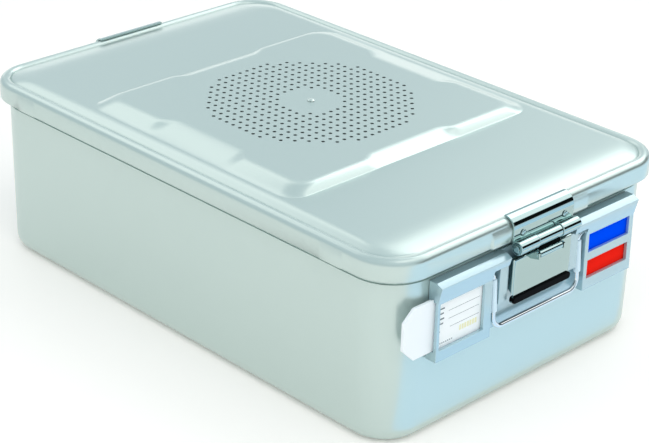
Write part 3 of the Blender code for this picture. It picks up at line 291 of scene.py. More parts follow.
def round_corners(bm, verts, radius, segments):
    """Round corners of a flat plate."""
    bmesh.ops.bevel(bm, geom=verts, offset=radius * MM, offset_type="OFFSET", segments=segments,
                    profile=0.5, affect="VERTICES", clamp_overlap=False, material=-1)


def rounded_plate(bm, half_x, half_y, corner, z, segments, across=(), along=(), shift=0.0):
    """A flat plate with round corners, and extra points on its sides at the given places."""
    corners = [(half_x, -half_y), (half_x, half_y), (-half_x, half_y), (-half_x, -half_y)]
    up, right = sorted(along), sorted(across)
    sides = ([(half_x, y) for y in up], [(x, half_y) for x in reversed(right)],
             [(-half_x, y) for y in reversed(up)], [(x, -half_y) for x in right])
    points = []
    for start, side in zip(corners, sides):
        points += [start] + side
    face = plate(bm, [Vector((x, y + shift, z)) * MM for x, y in points])
    ends = [v for v in face.verts if (round(v.co.x / MM, 3), round(v.co.y / MM - shift, 3)) in
            {(round(x, 3), round(y, 3)) for x, y in corners}]
    before = set(bm.faces) - {face}
    round_corners(bm, ends, corner, segments)
    return next(f for f in bm.faces if f not in before)


def set_level(face, z):
    for vert in face.verts:
        vert.co.z = z * MM


def step_up(bm, face, z):
    """Pull a face straight to a level, leaving a wall behind it."""
    face = bmesh.ops.extrude_discrete_faces(bm, faces=[face])["faces"][0]
    set_level(face, z)
    return face


def step_in(bm, face, inward, z):
    """Draw a face in by an even band and take it to a level."""
    bmesh.ops.inset_region(bm, faces=[face], thickness=inward * MM, use_boundary=True,
                           use_even_offset=True)
    set_level(face, z)
    return face


def draw_in(face, inner_x, inner_y, move_x, move_y, shift=0.0):
    """Move the sides of a rounded face towards its middle and keep its corners' radius."""
    for vert in face.verts:
        x, y = vert.co.x / MM, vert.co.y / MM - shift
        if abs(x) > inner_x:
            vert.co.x -= math.copysign(move_x * MM, x)
        if abs(y) > inner_y:
            vert.co.y -= math.copysign(move_y * MM, y)


def lathe(bm, profile, start, along, steps=ROUND_STEPS, closed=True):
    """Turn a section of (radius, distance) points round an axis."""
    along = Vector(along).normalized()
    side = along.orthogonal().normalized()
    verts = [bm.verts.new(start + (side * r + along * d) * MM) for r, d in profile]
    edges = [bm.edges.new(pair) for pair in zip(verts, verts[1:])]
    if closed:
        edges.append(bm.edges.new((verts[-1], verts[0])))
    before = set(bm.faces)
    bmesh.ops.spin(bm, geom=verts + edges, cent=start, axis=along, dvec=(0.0, 0.0, 0.0),
                   angle=2.0 * math.pi, steps=steps, use_merge=True, use_duplicate=False)
    points = list({v for f in bm.faces if f not in before for v in f.verts})
    bmesh.ops.remove_doubles(bm, verts=points, dist=MERGE_TURNED)
    bmesh.ops.recalc_face_normals(bm, faces=[f for f in bm.faces if f not in before])


def tube(bm, x0, x1, out, z, outer, inner, edge=TUBE_EDGE):
    """A tube across the container, with softened rims."""
    length, soft = x1 - x0, RIM_SHARE * edge
    section = ((inner, 0.0), (outer - edge, 0.0), (outer - soft, soft), (outer, edge),
               (outer, length - edge), (outer - soft, length - soft), (outer - edge, length),
               (inner, length))
    lathe(bm, section, at(x0, out, z), (1.0, 0.0, 0.0))


def pin(bm, x0, x1, out, z, radius):
    """A pin across the container, with softened ends."""
    length, edge = x1 - x0, PIN_EDGE
    section = ((0.0, 0.0), (radius - edge, 0.0), (radius, edge), (radius, length - edge),
               (radius - edge, length), (0.0, length))
    lathe(bm, section, at(x0, out, z), (1.0, 0.0, 0.0), closed=False)


def wire(bm, radius, points, bends):
    """A round wire through corner points, each bent at its own radius."""
    points = [Vector(p) for p in points]
    heading = (points[1] - points[0]).normalized()
    turn = heading.to_track_quat("Z", "Y").to_matrix().to_4x4()
    made = bmesh.ops.create_circle(bm, cap_ends=True, radius=radius * MM, segments=ROUND_STEPS,
                                   matrix=Matrix.Translation(points[0]) @ turn)
    edges = list({e for v in made["verts"] for e in v.link_edges})
    place = points[0]
    for corner, after, bend in zip(points[1:], points[2:], bends):
        leaving = (after - corner).normalized()
        angle = heading.angle(leaving)
        reach = bend * MM * math.tan(0.5 * angle)
        start = corner - heading * reach
        edges = run(bm, edges, start - place)
        axis = heading.cross(leaving).normalized()
        centre = start + axis.cross(heading) * bend * MM
        last = bmesh.ops.spin(bm, geom=edges, cent=centre, axis=axis, dvec=(0.0, 0.0, 0.0),
                              angle=angle, steps=BEND_STEPS, use_duplicate=False)["geom_last"]
        edges = only(bmesh.types.BMEdge, last)
        place = corner + leaving * reach
        heading = leaving
    edges = run(bm, edges, points[-1] - place)
    bmesh.ops.edgeloop_fill(bm, edges=edges)
    bmesh.ops.recalc_face_normals(bm, faces=bm.faces[:])


def run(bm, edges, move):
    """Draw an open end on by a vector and return the new end's edges."""
    made = bmesh.ops.extrude_edge_only(bm, edges=edges)["geom"]
    bmesh.ops.translate(bm, vec=move, verts=only(bmesh.types.BMVert, made))
    return only(bmesh.types.BMEdge, made)


def thicken(bm, sheet):
    """Give an open skin its sheet thickness inwards."""
    bmesh.ops.solidify(bm, geom=bm.faces[:], thickness=sheet)


def new_mesh(name, bm):
    mesh = bpy.data.meshes.new(name)
    bm.to_mesh(mesh)
    bm.free()
    return mesh


def new_object(name, data):
    obj = bpy.data.objects.new(name, data)
    bpy.context.scene.collection.objects.link(obj)
    return obj


def show(name, bm, body, finish, replaces=(), smooth=SMOOTH_FLAT):
    """Put a finished piece into the scene, on its CAD body."""
    limit = math.radians(smooth)
    for edge in bm.edges:
        edge.smooth = len(edge.link_faces) != 2 or edge.calc_face_angle(0.0) < limit
    for face in bm.faces:
        face.smooth = True
    return show_mesh(name, new_mesh(name, bm), body, finish, replaces)


def show_mesh(name, mesh, body, finish, replaces):
    mesh.materials.clear()
    mesh.materials.append(finish)
    obj = new_object(name, mesh)
    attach(obj, body)
    if replaces:
        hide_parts(*replaces)
    return obj


def show_ends(name, bm, body, finish, replaces, smooth=SMOOTH_FLAT):
    """Put a piece at the labelled end, and its twin, turned half round, at the other."""
    moving = body not in ("base", "lid")
    front = show("front_" + name, bm, "front_" + body if moving else body, finish,
                 ["front_" + node for node in replaces], smooth)
    twin = front.data.copy()
    twin.transform(Matrix.Rotation(math.pi, 4, "Z"))
    show_mesh("rear_" + name, twin, "rear_" + body if moving else body, finish,
              ["rear_" + node for node in replaces])


# Finishes

def finish(name, colour, metallic=0.0, roughness=0.4, specular=0.5, coat=0.0):
    """A material with a uniform colour."""
    material = bpy.data.materials.get(name + "_finish")
    if material:
        return material
    material = bpy.data.materials.new(name + "_finish")
    material.use_nodes = True
    values = material.node_tree.nodes["Principled BSDF"].inputs
    values["Base Color"].default_value = (*colour, 1.0)
    values["Metallic"].default_value = metallic
    values["Roughness"].default_value = roughness
    values["Specular IOR Level"].default_value = specular
    values["Coat Weight"].default_value = coat
    values["Coat Roughness"].default_value = COAT_ROUGHNESS
    return material


def aluminium():
    return finish("anodized_aluminium", colours().aluminium, 0.7, 0.28)


def stainless():
    return finish("stainless_steel", colours().stainless, 1.0, 0.05)


def grey_plastic():
    return finish("grey_plastic", colours().grey_plastic, 0.4, 0.22, specular=1.0, coat=1.0)


def show_steel_ends(name, bm, body, replaces, smooth=SMOOTH_FLAT):
    show_ends(name, bm, body, stainless(), replaces, smooth)


# Pieces

class CONTAINER_OT_base(bpy.types.Operator):
    """Draw the base: lip, walls and rounded foot"""
    bl_idname = "container.base"
    bl_label = "Base"

    def execute(self, context):
        bm = bmesh.new()
        face = rounded_plate(bm, BASE_HALF_X + LIP_OUT, BASE_HALF_Y + LIP_OUT,
                             BASE_CORNER + LIP_OUT, LIP_TOP, CORNER_STEPS)
        bmesh.ops.reverse_faces(bm, faces=[face])
        face = step_up(bm, face, LIP_LAND)
        for share in (0.5, 1.0):
            face = step_in(bm, face, 0.5 * LIP_OUT, LIP_LAND + share * (LIP_FOOT - LIP_LAND))
        for z in SHADOW_LINE:
            face = step_up(bm, face, z)
        face = step_in(bm, face, BASE_DRAFT, BOTTOM_RADIUS)
        inset = 0.0
        for step in range(1, FOOT_STEPS + 1):
            angle = 0.5 * math.pi * step / FOOT_STEPS
            reach = BOTTOM_RADIUS * (1.0 - math.cos(angle))
            face = step_in(bm, face, reach - inset, BOTTOM_RADIUS * (1.0 - math.sin(angle)))
            inset = reach
        step_in(bm, face, FOOT_FLAT, 0.0)
        for vert in bm.verts:
            if round(vert.co.z / MM, 2) in SHADOW_LINE[1:3]:
                vert.co.x *= 1.0 - SHADOW_DEPTH / BASE_HALF_X
                vert.co.y *= 1.0 - SHADOW_DEPTH / BASE_HALF_Y
        thicken(bm, sizes().base_sheet)
        show("base_drawn", bm, "base", aluminium(), ["base_shell"])
        return {"FINISHED"}


def lid_skin(bm):
    """The lid's outer face from the skirt's edge over the rim and groove to the deck."""
    across = [s * x for s in (-1, 1) for x in (END_PAD_HALF, END_PAD_HALF + PAD_RAMP)]
    half = (SIDE_PAD_HALF, SIDE_PAD_HALF + PAD_RAMP)
    along = [s * (SIDE_PAD_CENTRE + d) for s in (-1, 1) for d in (-half[1], -half[0], *half)]
    face = rounded_plate(bm, LID_HALF_X, LID_HALF_Y, LID_CORNER, SKIRT_BOTTOM + HEM_HEIGHT,
                         CORNER_STEPS, across, along)
    for level in (SKIRT_TOP, RIM_FOOT):
        face = step_up(bm, face, level)
    radius = sizes().rim_radius / MM
    inset = 0.0
    for degrees in RIM_ANGLES:
        angle = math.radians(degrees)
        reach = radius * (1.0 - math.cos(angle))
        face = step_in(bm, face, reach - inset, RIM_FOOT + radius * math.sin(angle))
        inset = reach
    face = step_in(bm, face, GROOVE_INSET - inset, GROOVE_FLOOR)
    inset = GROOVE_INSET
    for inset_x, _, z in ROLL_OFF:
        face = step_in(bm, face, inset_x - inset, z)
        inset = inset_x
    draw_ends_in(bm)
    push_pads(bm)
    roll_hem(bm)
    return face


def roll_hem(bm):
    """Turn the skirt's lower edge in."""
    height = (SKIRT_BOTTOM + HEM_HEIGHT + CLOSE_TO) * MM
    edges = [e for e in bm.edges if e.is_boundary and e.verts[0].co.z < height]
    taken = 0.0
    for inward, rise in HEM:
        edges = run(bm, edges, Vector())
        for vert in {v for e in edges for v in e.verts}:
            vert.co.z = (SKIRT_BOTTOM + rise) * MM
            vert.co.x *= 1.0 - (inward - taken) / LID_HALF_X
            vert.co.y *= 1.0 - (inward - taken) / LID_HALF_Y
        taken = inward


def draw_ends_in(bm):
    """Make the roll-off longer at the lid's ends than at its sides."""
    levels = {round(z, 2): inset_y - inset_x for inset_x, inset_y, z in ROLL_OFF}
    corner_y = LID_HALF_Y - LID_CORNER
    for vert in bm.verts:
        move = levels.get(round(vert.co.z / MM, 2), 0.0)
        share = (abs(vert.co.y) / MM - corner_y) / ROLL_OFF_BLEND + 1.0
        share = min(1.0, max(0.0, share))
        vert.co.y -= math.copysign(move * share * MM, vert.co.y)


def push_pads(bm):
    """Move the skirt's points out where a pad is pressed into it."""
    end_out, side_out = sizes().end_pad_out, sizes().side_pad_out
    for vert in bm.verts:
        x, y, z = (value / MM for value in vert.co)
        if z > SKIRT_TOP + CLOSE_TO:
            continue
        if abs(abs(y) - LID_HALF_Y) < NEAR and abs(x) < END_PAD_HALF + NEAR:
            vert.co.y += math.copysign(end_out, y)
        elif (abs(abs(x) - LID_HALF_X) < NEAR
              and abs(abs(y) - SIDE_PAD_CENTRE) < SIDE_PAD_HALF + NEAR):
            vert.co.x += math.copysign(side_out, x)


def ramp(distance, half):
    """1 inside a notch, 0 outside it, with a soft ramp between."""
    share = min(1.0, max(0.0, (half - abs(distance)) / NOTCH_RAMP))
    return share * share * (3.0 - 2.0 * share)


def ramp_places(half):
    """Places along a side where a notch's two ramps need points."""
    return [s * (half - NOTCH_RAMP * d / NOTCH_RAMP_STEPS)
            for s in (-1, 1) for d in range(NOTCH_RAMP_STEPS + 1)]


def raised_field(bm):
    """The raised field's slopes with their four notches, up to its flat top."""
    (half_end, deep_end), (half_side, deep_side) = NOTCH_END, NOTCH_SIDE
    face = rounded_plate(bm, FIELD_HALF_X, FIELD_HALF_Y, FIELD_CORNER, DECK_TOP,
                         FIELD_CORNER_STEPS, ramp_places(half_end), ramp_places(half_side),
                         FIELD_SHIFT)
    foot = face.edges[:]
    straight_x, straight_y = FIELD_HALF_X - FIELD_CORNER_REACH, FIELD_HALF_Y - FIELD_CORNER_REACH
    last_x, last_y, last_rise = 0.0, 0.0, 0.0
    top = FIELD_STEPS[-1][2]
    for inset_x, inset_y, rise in FIELD_STEPS:
        face = step_up(bm, face, DECK_TOP + rise)
        draw_in(face, straight_x, straight_y, inset_x - last_x, inset_y - last_y, FIELD_SHIFT)
        share = (rise - last_rise) / top
        for vert in face.verts:
            x, y = vert.co.x / MM, vert.co.y / MM - FIELD_SHIFT
            if abs(x) < half_end:
                vert.co.y -= math.copysign(deep_end * share * ramp(x, half_end) * MM, y)
            if abs(y) < half_side:
                vert.co.x -= math.copysign(deep_side * share * ramp(y, half_side) * MM, x)
        last_x, last_y, last_rise = inset_x, inset_y, rise
    return foot, face


def perforations(bm, z):
    """A square of cells, most of them with a punched hole, and its outer edges."""
    half = 0.5 * HOLE_ROWS * HOLE_PITCH
    middle = Vector((0.0, FIELD_SHIFT, z)) * MM
    before = set(bm.faces)
    bmesh.ops.create_grid(bm, x_segments=HOLE_ROWS, y_segments=HOLE_ROWS, size=half * MM,
                          matrix=Matrix.Translation(middle))
    cells = [f for f in bm.faces if f not in before]
    rim = [e for f in cells for e in f.edges if len(e.link_faces) == 1]
    punched = [f for f in cells
               if HOLE_INNER * MM < (f.calc_center_median() - middle).length < HOLE_OUTER * MM]
    radius = 0.5 * sizes().hole_diameter
    bmesh.ops.inset_individual(bm, faces=punched, thickness=0.5 * HOLE_PITCH * MM - radius,
                               use_even_offset=True)
    edges = list({e for f in punched for e in f.edges})
    bmesh.ops.bisect_edges(bm, edges=edges, cuts=HOLE_CUTS)
    for face in punched:
        centre = face.calc_center_bounds()
        for vert in face.verts:
            vert.co = centre + (vert.co - centre).normalized() * radius
    bmesh.ops.delete(bm, geom=punched, context="FACES_ONLY")
    return rim


def widen_below(bm, z):
    """Let each punched hole open out towards the sheet's underside, as a punch leaves it."""
    reach = 0.5 * sizes().hole_diameter + HOLE_REACH * MM
    for vert in bm.verts:
        if abs(vert.co.z / MM - z) > HOLE_LEVEL:
            continue
        cell = [(math.floor(value / HOLE_PITCH) + 0.5) * HOLE_PITCH for value in
                (vert.co.x / MM, vert.co.y / MM - FIELD_SHIFT)]
        if HOLE_INNER < math.hypot(*cell) < HOLE_OUTER:
            centre = Vector((cell[0] * MM, (cell[1] + FIELD_SHIFT) * MM, vert.co.z))
            arm = vert.co - centre
            if arm.length < reach:
                vert.co = centre + arm * HOLE_FLARE


def flat_between(bm, edges):
    bmesh.ops.triangle_fill(bm, edges=edges, use_beauty=True, normal=(0.0, 0.0, 1.0))


class CONTAINER_OT_lid(bpy.types.Operator):
    """Press the lid: skirt, rolled rim, groove, deck, raised field and perforations"""
    bl_idname = "container.lid"
    bl_label = "Lid"

    def execute(self, context):
        bm = bmesh.new()
        deck = lid_skin(bm)
        deck_edges = deck.edges[:]
        bmesh.ops.delete(bm, geom=[deck], context="FACES_ONLY")
        foot, top = raised_field(bm)
        flat_between(bm, deck_edges + foot)
        z = top.verts[0].co.z / MM
        top_edges = top.edges[:]
        bmesh.ops.delete(bm, geom=[top], context="FACES_ONLY")
        flat_between(bm, top_edges + perforations(bm, z))
        thicken(bm, sizes().lid_sheet)
        widen_below(bm, z - sizes().lid_sheet / MM)
        show("lid_pressed", bm, "lid", aluminium(), ["lid_shell"],
             SMOOTH_PRESSED)
        return {"FINISHED"}


def cad_copy(node):
    """A merged copy of a CAD node's mesh, with flat areas made one face again."""
    bm = bmesh.new()
    bm.from_mesh(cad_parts[node].data)
    bmesh.ops.remove_doubles(bm, verts=bm.verts[:], dist=MERGE_CAD)
    bmesh.ops.dissolve_limit(bm, angle_limit=math.radians(FLAT_LIMIT), verts=bm.verts[:],
                             edges=bm.edges[:])
    return bm


def slotted_pad(bm, side):
    """The raised pad with a blind slot between the handle's leg and the lever."""
    pad = bmesh.new()
    (x0, x1), (low, high) = PAD_ACROSS, PAD_HEIGHTS
    upright(pad, side * x0, side * x1, low, high, PLATE_FACE - PAD_SEAT,
            PAD_OUT - PLATE_FACE + PAD_SEAT)
    front = min(pad.faces, key=lambda f: f.calc_center_median().y)
    bmesh.ops.inset_individual(pad, faces=[front], thickness=PAD_BORDER * MM,
                               use_even_offset=True)
    before = set(pad.faces) - {front}
    round_corners(pad, front.verts[:], SLOT_CORNER, SLOT_CORNER_STEPS)
    floor = next(f for f in pad.faces if f not in before)
    floor = bmesh.ops.extrude_discrete_faces(pad, faces=[floor])["faces"][0]
    for vert in floor.verts:
        vert.co.y += SLOT_DEPTH * MM
    round_edges(pad, sharp_edges(pad, BLOCK_LIMIT), PAD_EDGE)
    mesh = new_mesh("pad", pad)
    bm.from_mesh(mesh)
    bpy.data.meshes.remove(mesh)


class CONTAINER_OT_panels(bpy.types.Operator):
    """Mould the end panels with their wings, thin plate and pockets"""
    bl_idname = "container.panels"
    bl_label = "End panels"

    def execute(self, context):
        bm = cad_copy("front_panel")
        ridge = [e for e in sharp_edges(bm)
                 if all(-v.co.y / MM > RIDGE_OUT - RIDGE_BAND for v in e.verts)]
        round_edges(bm, ridge, RIDGE_CHAMFER, 1)
        for vert in bm.verts:
            if (abs(vert.co.z / MM - PANEL_TOP) < NEAR
                    and abs(-vert.co.y / MM - RIDGE_OUT + RIDGE_CHAMFER) < NEAR):
                vert.co.y += RIDGE_SHIFT * MM
        round_edges(bm, sharp_edges(bm, SOFT_LIMIT), sizes().panel_rounding / MM)
        for side in (-1, 1):
            slotted_pad(bm, side)
        show_ends("panel_moulded", bm, "base", grey_plastic(), ["panel"])
        return {"FINISHED"}


def deepen_tab(bm):
    """Give the tab outside the panel its deeper, moulded rim."""
    points = (v.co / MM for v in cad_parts["label_carrier"].data.vertices)
    outline = {(round(p.x, 2), round(p.z, 2)) for p in points if p.x < TAB_ACROSS}
    low, high = min(z for _, z in outline), max(z for _, z in outline)
    outline |= {(TAB_ACROSS, low), (TAB_ACROSS, high)}
    middle = (TAB_ACROSS - TAB_MIDDLE, 0.5 * (low + high))
    corners = sorted(outline, key=lambda c: math.atan2(c[1] - middle[1], c[0] - middle[0]))
    spread = [[m + (c - m) * TAB_SPREAD for m, c in zip(middle, corner)] for corner in corners]
    block(bm, [at(x, TAB_BACK, z) for x, z in spread], at(0.0, TAB_FACE - TAB_BACK, 0.0))


class CONTAINER_OT_labels(bpy.types.Operator):
    """Fit the card on its carrier and the two coloured tags"""
    bl_idname = "container.labels"
    bl_label = "Card and tags"

    def execute(self, context):
        paint = colours()
        pieces = (("label_carrier", "label", "white_plastic", paint.white_plastic, 0.35, 0.5,
                   TAB_ROUNDING),
                  ("label_card", "label", "label_card", paint.card, 0.7, 0.5, 0.0),
                  ("blue_tag", "blue_tag", "blue_plastic", paint.blue, 0.5, 0.0, TAG_ROUNDING),
                  ("red_tag", "red_tag", "red_plastic", paint.red, 0.5, 0.0, TAG_ROUNDING))
        for node, body, slot, colour, roughness, specular, rounding in pieces:
            bm = cad_copy(node)
            if node == "label_carrier":
                deepen_tab(bm)
            if rounding:
                round_edges(bm, sharp_edges(bm), rounding, 2)
            show(node + "_piece", bm, body,
                 finish(slot, colour, roughness=roughness, specular=specular), [node])
        prints = (("card_print", paint.card_print, PRINT_RULES + PRINT_MARKS + PRINT_DOTS),
                  ("card_field", paint.card_block, PRINT_FIELD))
        for name, colour, places in prints:
            bm = bmesh.new()
            for place in places:
                upright(bm, *place, CARD_FACE, PRINT_PROUD)
            show(name, bm, "label", finish(name, colour, roughness=0.8))
        return {"FINISHED"}


class CONTAINER_OT_handles(bpy.types.Operator):
    """Bend the wire handles and put the sleeves on their legs"""
    bl_idname = "container.handles"
    bl_label = "Handles"

    def execute(self, context):
        bm = bmesh.new()
        radius = 0.5 * sizes().wire_diameter / MM
        high, low = (BAIL_OUT, BAIL_Z), (BAIL_OUT + BAIL_LEAN, BAIL_Z - BAIL_DROP)
        wire(bm, radius, (at(-PIVOT_END, *high), at(-BAIL_HALF, *high), at(-BAIL_HALF, *low),
                          at(BAIL_HALF, *low), at(BAIL_HALF, *high), at(PIVOT_END, *high)),
             (PIVOT_BEND, BAIL_BEND, BAIL_BEND, PIVOT_BEND))
        show_ends("bail_wire", bm, "handle",
                  finish("bright_wire", colours().wire, 1.0, 0.03), ["bail"])
        bm = bmesh.new()
        outer, inner, edge, length = SLEEVE_RADIUS, radius + SLEEVE_GAP, SLEEVE_EDGE, SLEEVE_LENGTH
        section = ((inner, 0.0), (outer - edge, 0.0), (outer, edge), (outer, length - edge),
                   (outer - edge, length), (inner, length))
        for side in (-1, 1):
            top = at(side * BAIL_HALF, *high)
            leg = (at(side * BAIL_HALF, *low) - top).normalized()
            lathe(bm, section, top + leg * SLEEVE_DROP * MM, leg)
        # The sleeves' finish is painted light: a lighter copy of the panel's plastic, offsetting
        # the shade of the recess behind them.
        show_ends("bail_sleeves", bm, "handle",
                  finish("sleeve_plastic_painted_light", colours().sleeve_painted_light, roughness=0.3),
                  ["sleeve_left", "sleeve_right"])
        return {"FINISHED"}


def rivets(body, place):
    """Pairs of domed rivets with a dimple, at the places of the CAD rivets."""
    for side in ("left", "right"):
        low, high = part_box("front_" + place + "_rivet_" + side)
        radius, length = 0.5 * (high.x - low.x) / MM, (high.y - low.y) / MM
        foot, shank = RIVET_FOOT_SHARE * radius, RIVET_SHANK_SHARE * radius
        neck = length - RIVET_HEAD
        section = [(0.0, 0.0), (foot, 0.0), (foot, RIVET_FOOT), (shank, RIVET_FOOT), (shank, neck)]
        section += [(r * radius, length - h * RIVET_HEAD) for r, h in RIVET_HEAD_SHARES]
        bm = bmesh.new()
        start = Vector((0.5 * (low.x + high.x), high.y, 0.5 * (low.z + high.z)))
        lathe(bm, section, start, (0.0, -1.0, 0.0), RIVET_STEPS, closed=False)
        show_steel_ends(place + "_rivet_" + side + "_domed", bm, body,
                        [place + "_rivet_" + side], SMOOTH_PRESSED)


class CONTAINER_OT_brackets(bpy.types.Operator):
    """Form the brackets that wrap over the rim, with their knuckles, pin and rivets"""
    bl_idname = "container.brackets"
    bl_label = "Lid brackets"

    def execute(self, context):
        bm = bmesh.new()
        section = ((BRACKET_BACK, BRACKET_TOP), (BRACKET_FACE, BRACKET_TOP),
                   (BRACKET_FACE, HINGE_Z + BRACKET_LAP))
        strip = [bm.verts.new(at(-BRACKET_HALF, *point)) for point in section]
        edges = [bm.edges.new(pair) for pair in zip(strip, strip[1:])]
        run(bm, edges, Vector((2.0 * BRACKET_HALF * MM, 0.0, 0.0)))
        bmesh.ops.recalc_face_normals(bm, faces=bm.faces[:])
        if min(f.normal.z for f in bm.faces) < -0.5:
            bmesh.ops.reverse_faces(bm, faces=bm.faces[:])
        bend = [e for e in bm.edges if len(e.link_faces) == 2]
        round_edges(bm, bend, BRACKET_BEND, BEND_STEPS)
        thicken(bm, BRACKET_SHEET * MM)
        round_edges(bm, sharp_edges(bm, SHEET_LIMIT), sizes().metal_rounding / MM, 2)
        inner = MIDDLE_HALF + KNUCKLE_GAP
        for x0, x1 in ((-BRACKET_HALF, -inner), (inner, BRACKET_HALF)):
            tube(bm, x0, x1, HINGE_OUT, HINGE_Z, OUTER_KNUCKLE_RADIUS, KNUCKLE_BORE, KNUCKLE_EDGE)
        show_steel_ends("bracket_formed", bm, "lid", ["lid_bracket"])
        bm = bmesh.new()
        pin(bm, -BRACKET_HALF, BRACKET_HALF, HINGE_OUT, HINGE_Z, PIN_RADIUS)
        for side in (-1, 1):
            x0, x1 = sorted(side * x for x in PIN_HEAD)
            pin(bm, x0, x1, HINGE_OUT, HINGE_Z, PIN_HEAD_RADIUS)
        show_steel_ends("hinge_pin_turned", bm, "lid", ["hinge_pin"])
        rivets("lid", "bracket")
        return {"FINISHED"}


class CONTAINER_OT_links(bpy.types.Operator):
    """Form the latch links with their roll and pin"""
    bl_idname = "container.links"
    bl_label = "Latch links"

    def execute(self, context):
        bm = bmesh.new()
        tube(bm, -MIDDLE_HALF, MIDDLE_HALF, HINGE_OUT, HINGE_Z, KNUCKLE_RADIUS, KNUCKLE_BORE)
        half, sheet = MIDDLE_HALF - STRAP_MARGIN, STRAP_HALF_SHEET
        block(bm, (at(-half, HINGE_OUT - sheet, HINGE_Z - STRAP_TOP),
                   at(-half, HINGE_OUT + sheet, HINGE_Z - STRAP_TOP),
                   at(-half, LINK_OUT + sheet, LINK_Z + STRAP_FOOT),
                   at(-half, LINK_OUT - sheet, LINK_Z + STRAP_FOOT)),
              Vector((2.0 * half * MM, 0.0, 0.0)))
        tube(bm, -half, half, LINK_OUT, LINK_Z, ROLL_RADIUS, ROLL_BORE)
        show_steel_ends("link_formed", bm, "link", ["latch_link"])
        bm = bmesh.new()
        pin(bm, -LINK_PIN_HALF, LINK_PIN_HALF, LINK_OUT, LINK_Z, LINK_PIN_RADIUS)
        show_steel_ends("link_pin_turned", bm, "link", ["link_pin"])
        return {"FINISHED"}


def edge_between(bm, first, second):
    """The edge between two (x, z) corners of a flat blank."""
    (x0, z0), (x1, z1) = first, second
    return next(e for e in bm.edges if {round(v.co.x / MM) for v in e.verts} == {x0, x1}
                and {round(v.co.z / MM, 1) for v in e.verts} == {z0, z1})


def lever_blank(bm):
    """The lever's plate with its side flanges and lip, folded back from the front."""
    corners = ((-LEVER_HALF, LEVER_BOTTOM), (LEVER_HALF, LEVER_BOTTOM),
               (LEVER_HALF, LEVER_FLANGE_FOOT), (LEVER_HALF, LEVER_TOP),
               (-LEVER_HALF, LEVER_TOP), (-LEVER_HALF, LEVER_FLANGE_FOOT))
    face = plate(bm, [at(x, LEVER_FACE, z) for x, z in corners])
    if face.normal.y > 0.0:
        bmesh.ops.reverse_faces(bm, faces=[face])
    middle = 0.5 * (LEVER_FLANGE_FOOT + LEVER_TOP) * MM
    for x in (-LEVER_HALF, LEVER_HALF):
        flank = edge_between(bm, (x, LEVER_FLANGE_FOOT), (x, LEVER_TOP))
        made = run(bm, [flank], at(0.0, -LEVER_FLANGE, 0.0))
        for vert in made[0].verts:
            if vert.co.z < middle:
                vert.co.z += LEVER_FLANGE * MM
    top = edge_between(bm, (-LEVER_HALF, LEVER_TOP), (LEVER_HALF, LEVER_TOP))
    run(bm, [top], at(0.0, LEVER_LIP_TIP - LEVER_FACE, 0.0))
    bmesh.ops.recalc_face_normals(bm, faces=bm.faces[:])
    if max(bm.faces, key=lambda f: f.calc_area()).normal.y > 0.0:
        bmesh.ops.reverse_faces(bm, faces=bm.faces[:])


class CONTAINER_OT_levers(bpy.types.Operator):
    """Fold the levers and clip the black grips on their lower edge"""
    bl_idname = "container.levers"
    bl_label = "Levers"

    def execute(self, context):
        bm = bmesh.new()
        lever_blank(bm)
        folds = [e for e in bm.edges if len(e.link_faces) == 2]
        round_edges(bm, folds, LEVER_FOLD, LEVER_FOLD_STEPS)
        thicken(bm, LEVER_SHEET * MM)
        round_edges(bm, sharp_edges(bm, SHEET_LIMIT), sizes().metal_rounding / MM, 2)
        seat, tip = LEVER_FACE - EAR_SEAT, LINK_OUT + EAR_REACH
        ear = ((seat, LINK_Z - EAR_FOOT), (tip, LINK_Z - EAR_REACH), (tip, LINK_Z + EAR_SHOULDER),
               (LINK_OUT, LINK_Z + EAR_REACH), (seat, LEVER_TOP - EAR_SEAT))
        for x in (-EAR_INNER - EAR_SHEET, EAR_INNER):
            block(bm, [at(x, *point) for point in ear], Vector((EAR_SHEET * MM, 0.0, 0.0)))
        show_steel_ends("lever_folded", bm, "lever", ["latch_lever"])
        bm = bmesh.new()
        grip(bm)
        show_ends("grip_strip", bm, "lever",
                  finish("black_rubber", colours().black, roughness=0.6, specular=0.05),
                  ["lever_grip"])
        return {"FINISHED"}


def grip(bm):
    """A black strip with round ends that wraps the lever's lower edge."""
    (near, far), (low, high) = GRIP_OUT, GRIP_HEIGHTS
    faces = upright(bm, -GRIP_HALF, GRIP_HALF, low, high, near, far - near)
    ends = {e for f in faces for e in f.edges
            if abs(e.verts[0].co.y - e.verts[1].co.y) > 0.5 * (far - near) * MM}
    round_edges(bm, list(ends), GRIP_END, GRIP_END_STEPS)
    round_edges(bm, sharp_edges(bm, BLOCK_LIMIT), GRIP_EDGE)


class CONTAINER_OT_keepers(bpy.types.Operator):
    """Fit the keepers and their rivets on the panels' plates"""
    bl_idname = "container.keepers"
    bl_label = "Keepers"

    def execute(self, context):
        bm = cad_copy("front_keeper")
        round_edges(bm, sharp_edges(bm), sizes().metal_rounding / MM, 2)
        show_steel_ends("keeper_bent", bm, "base", ["keeper"])
        rivets("base", "keeper")
        return {"FINISHED"}


class CONTAINER_OT_filter(bpy.types.Operator):
    """Fit the seal, the filter sheet, its retainer, stud and knob under the lid"""
    bl_idname = "container.filter"
    bl_label = "Seal and filter"

    def execute(self, context):
        seal = finish("silicone_seal", colours().silicone, roughness=0.5)
        # The filter sheet's dark finish is painted shade that darkens the holes in the lid.
        paper_painted_shade = finish("filter_paper", colours().paper_painted_shade, roughness=0.8)
        pieces = (("lid_gasket", "lid", "silicone_seal", seal),
                  ("filter_sheet", "lid", "filter_paper", paper_painted_shade),
                  ("filter_retainer", "retainer", "anodized_aluminium", aluminium()),
                  ("filter_stud", "lid", "stainless_steel", aluminium()),
                  ("filter_knob", "retainer", "grey_plastic", grey_plastic()))
        for node, body, slot, material in pieces:
            show(node + "_piece", cad_copy(node), body, material, [node], SMOOTH_CAD)
        return {"FINISHED"}


# Stage

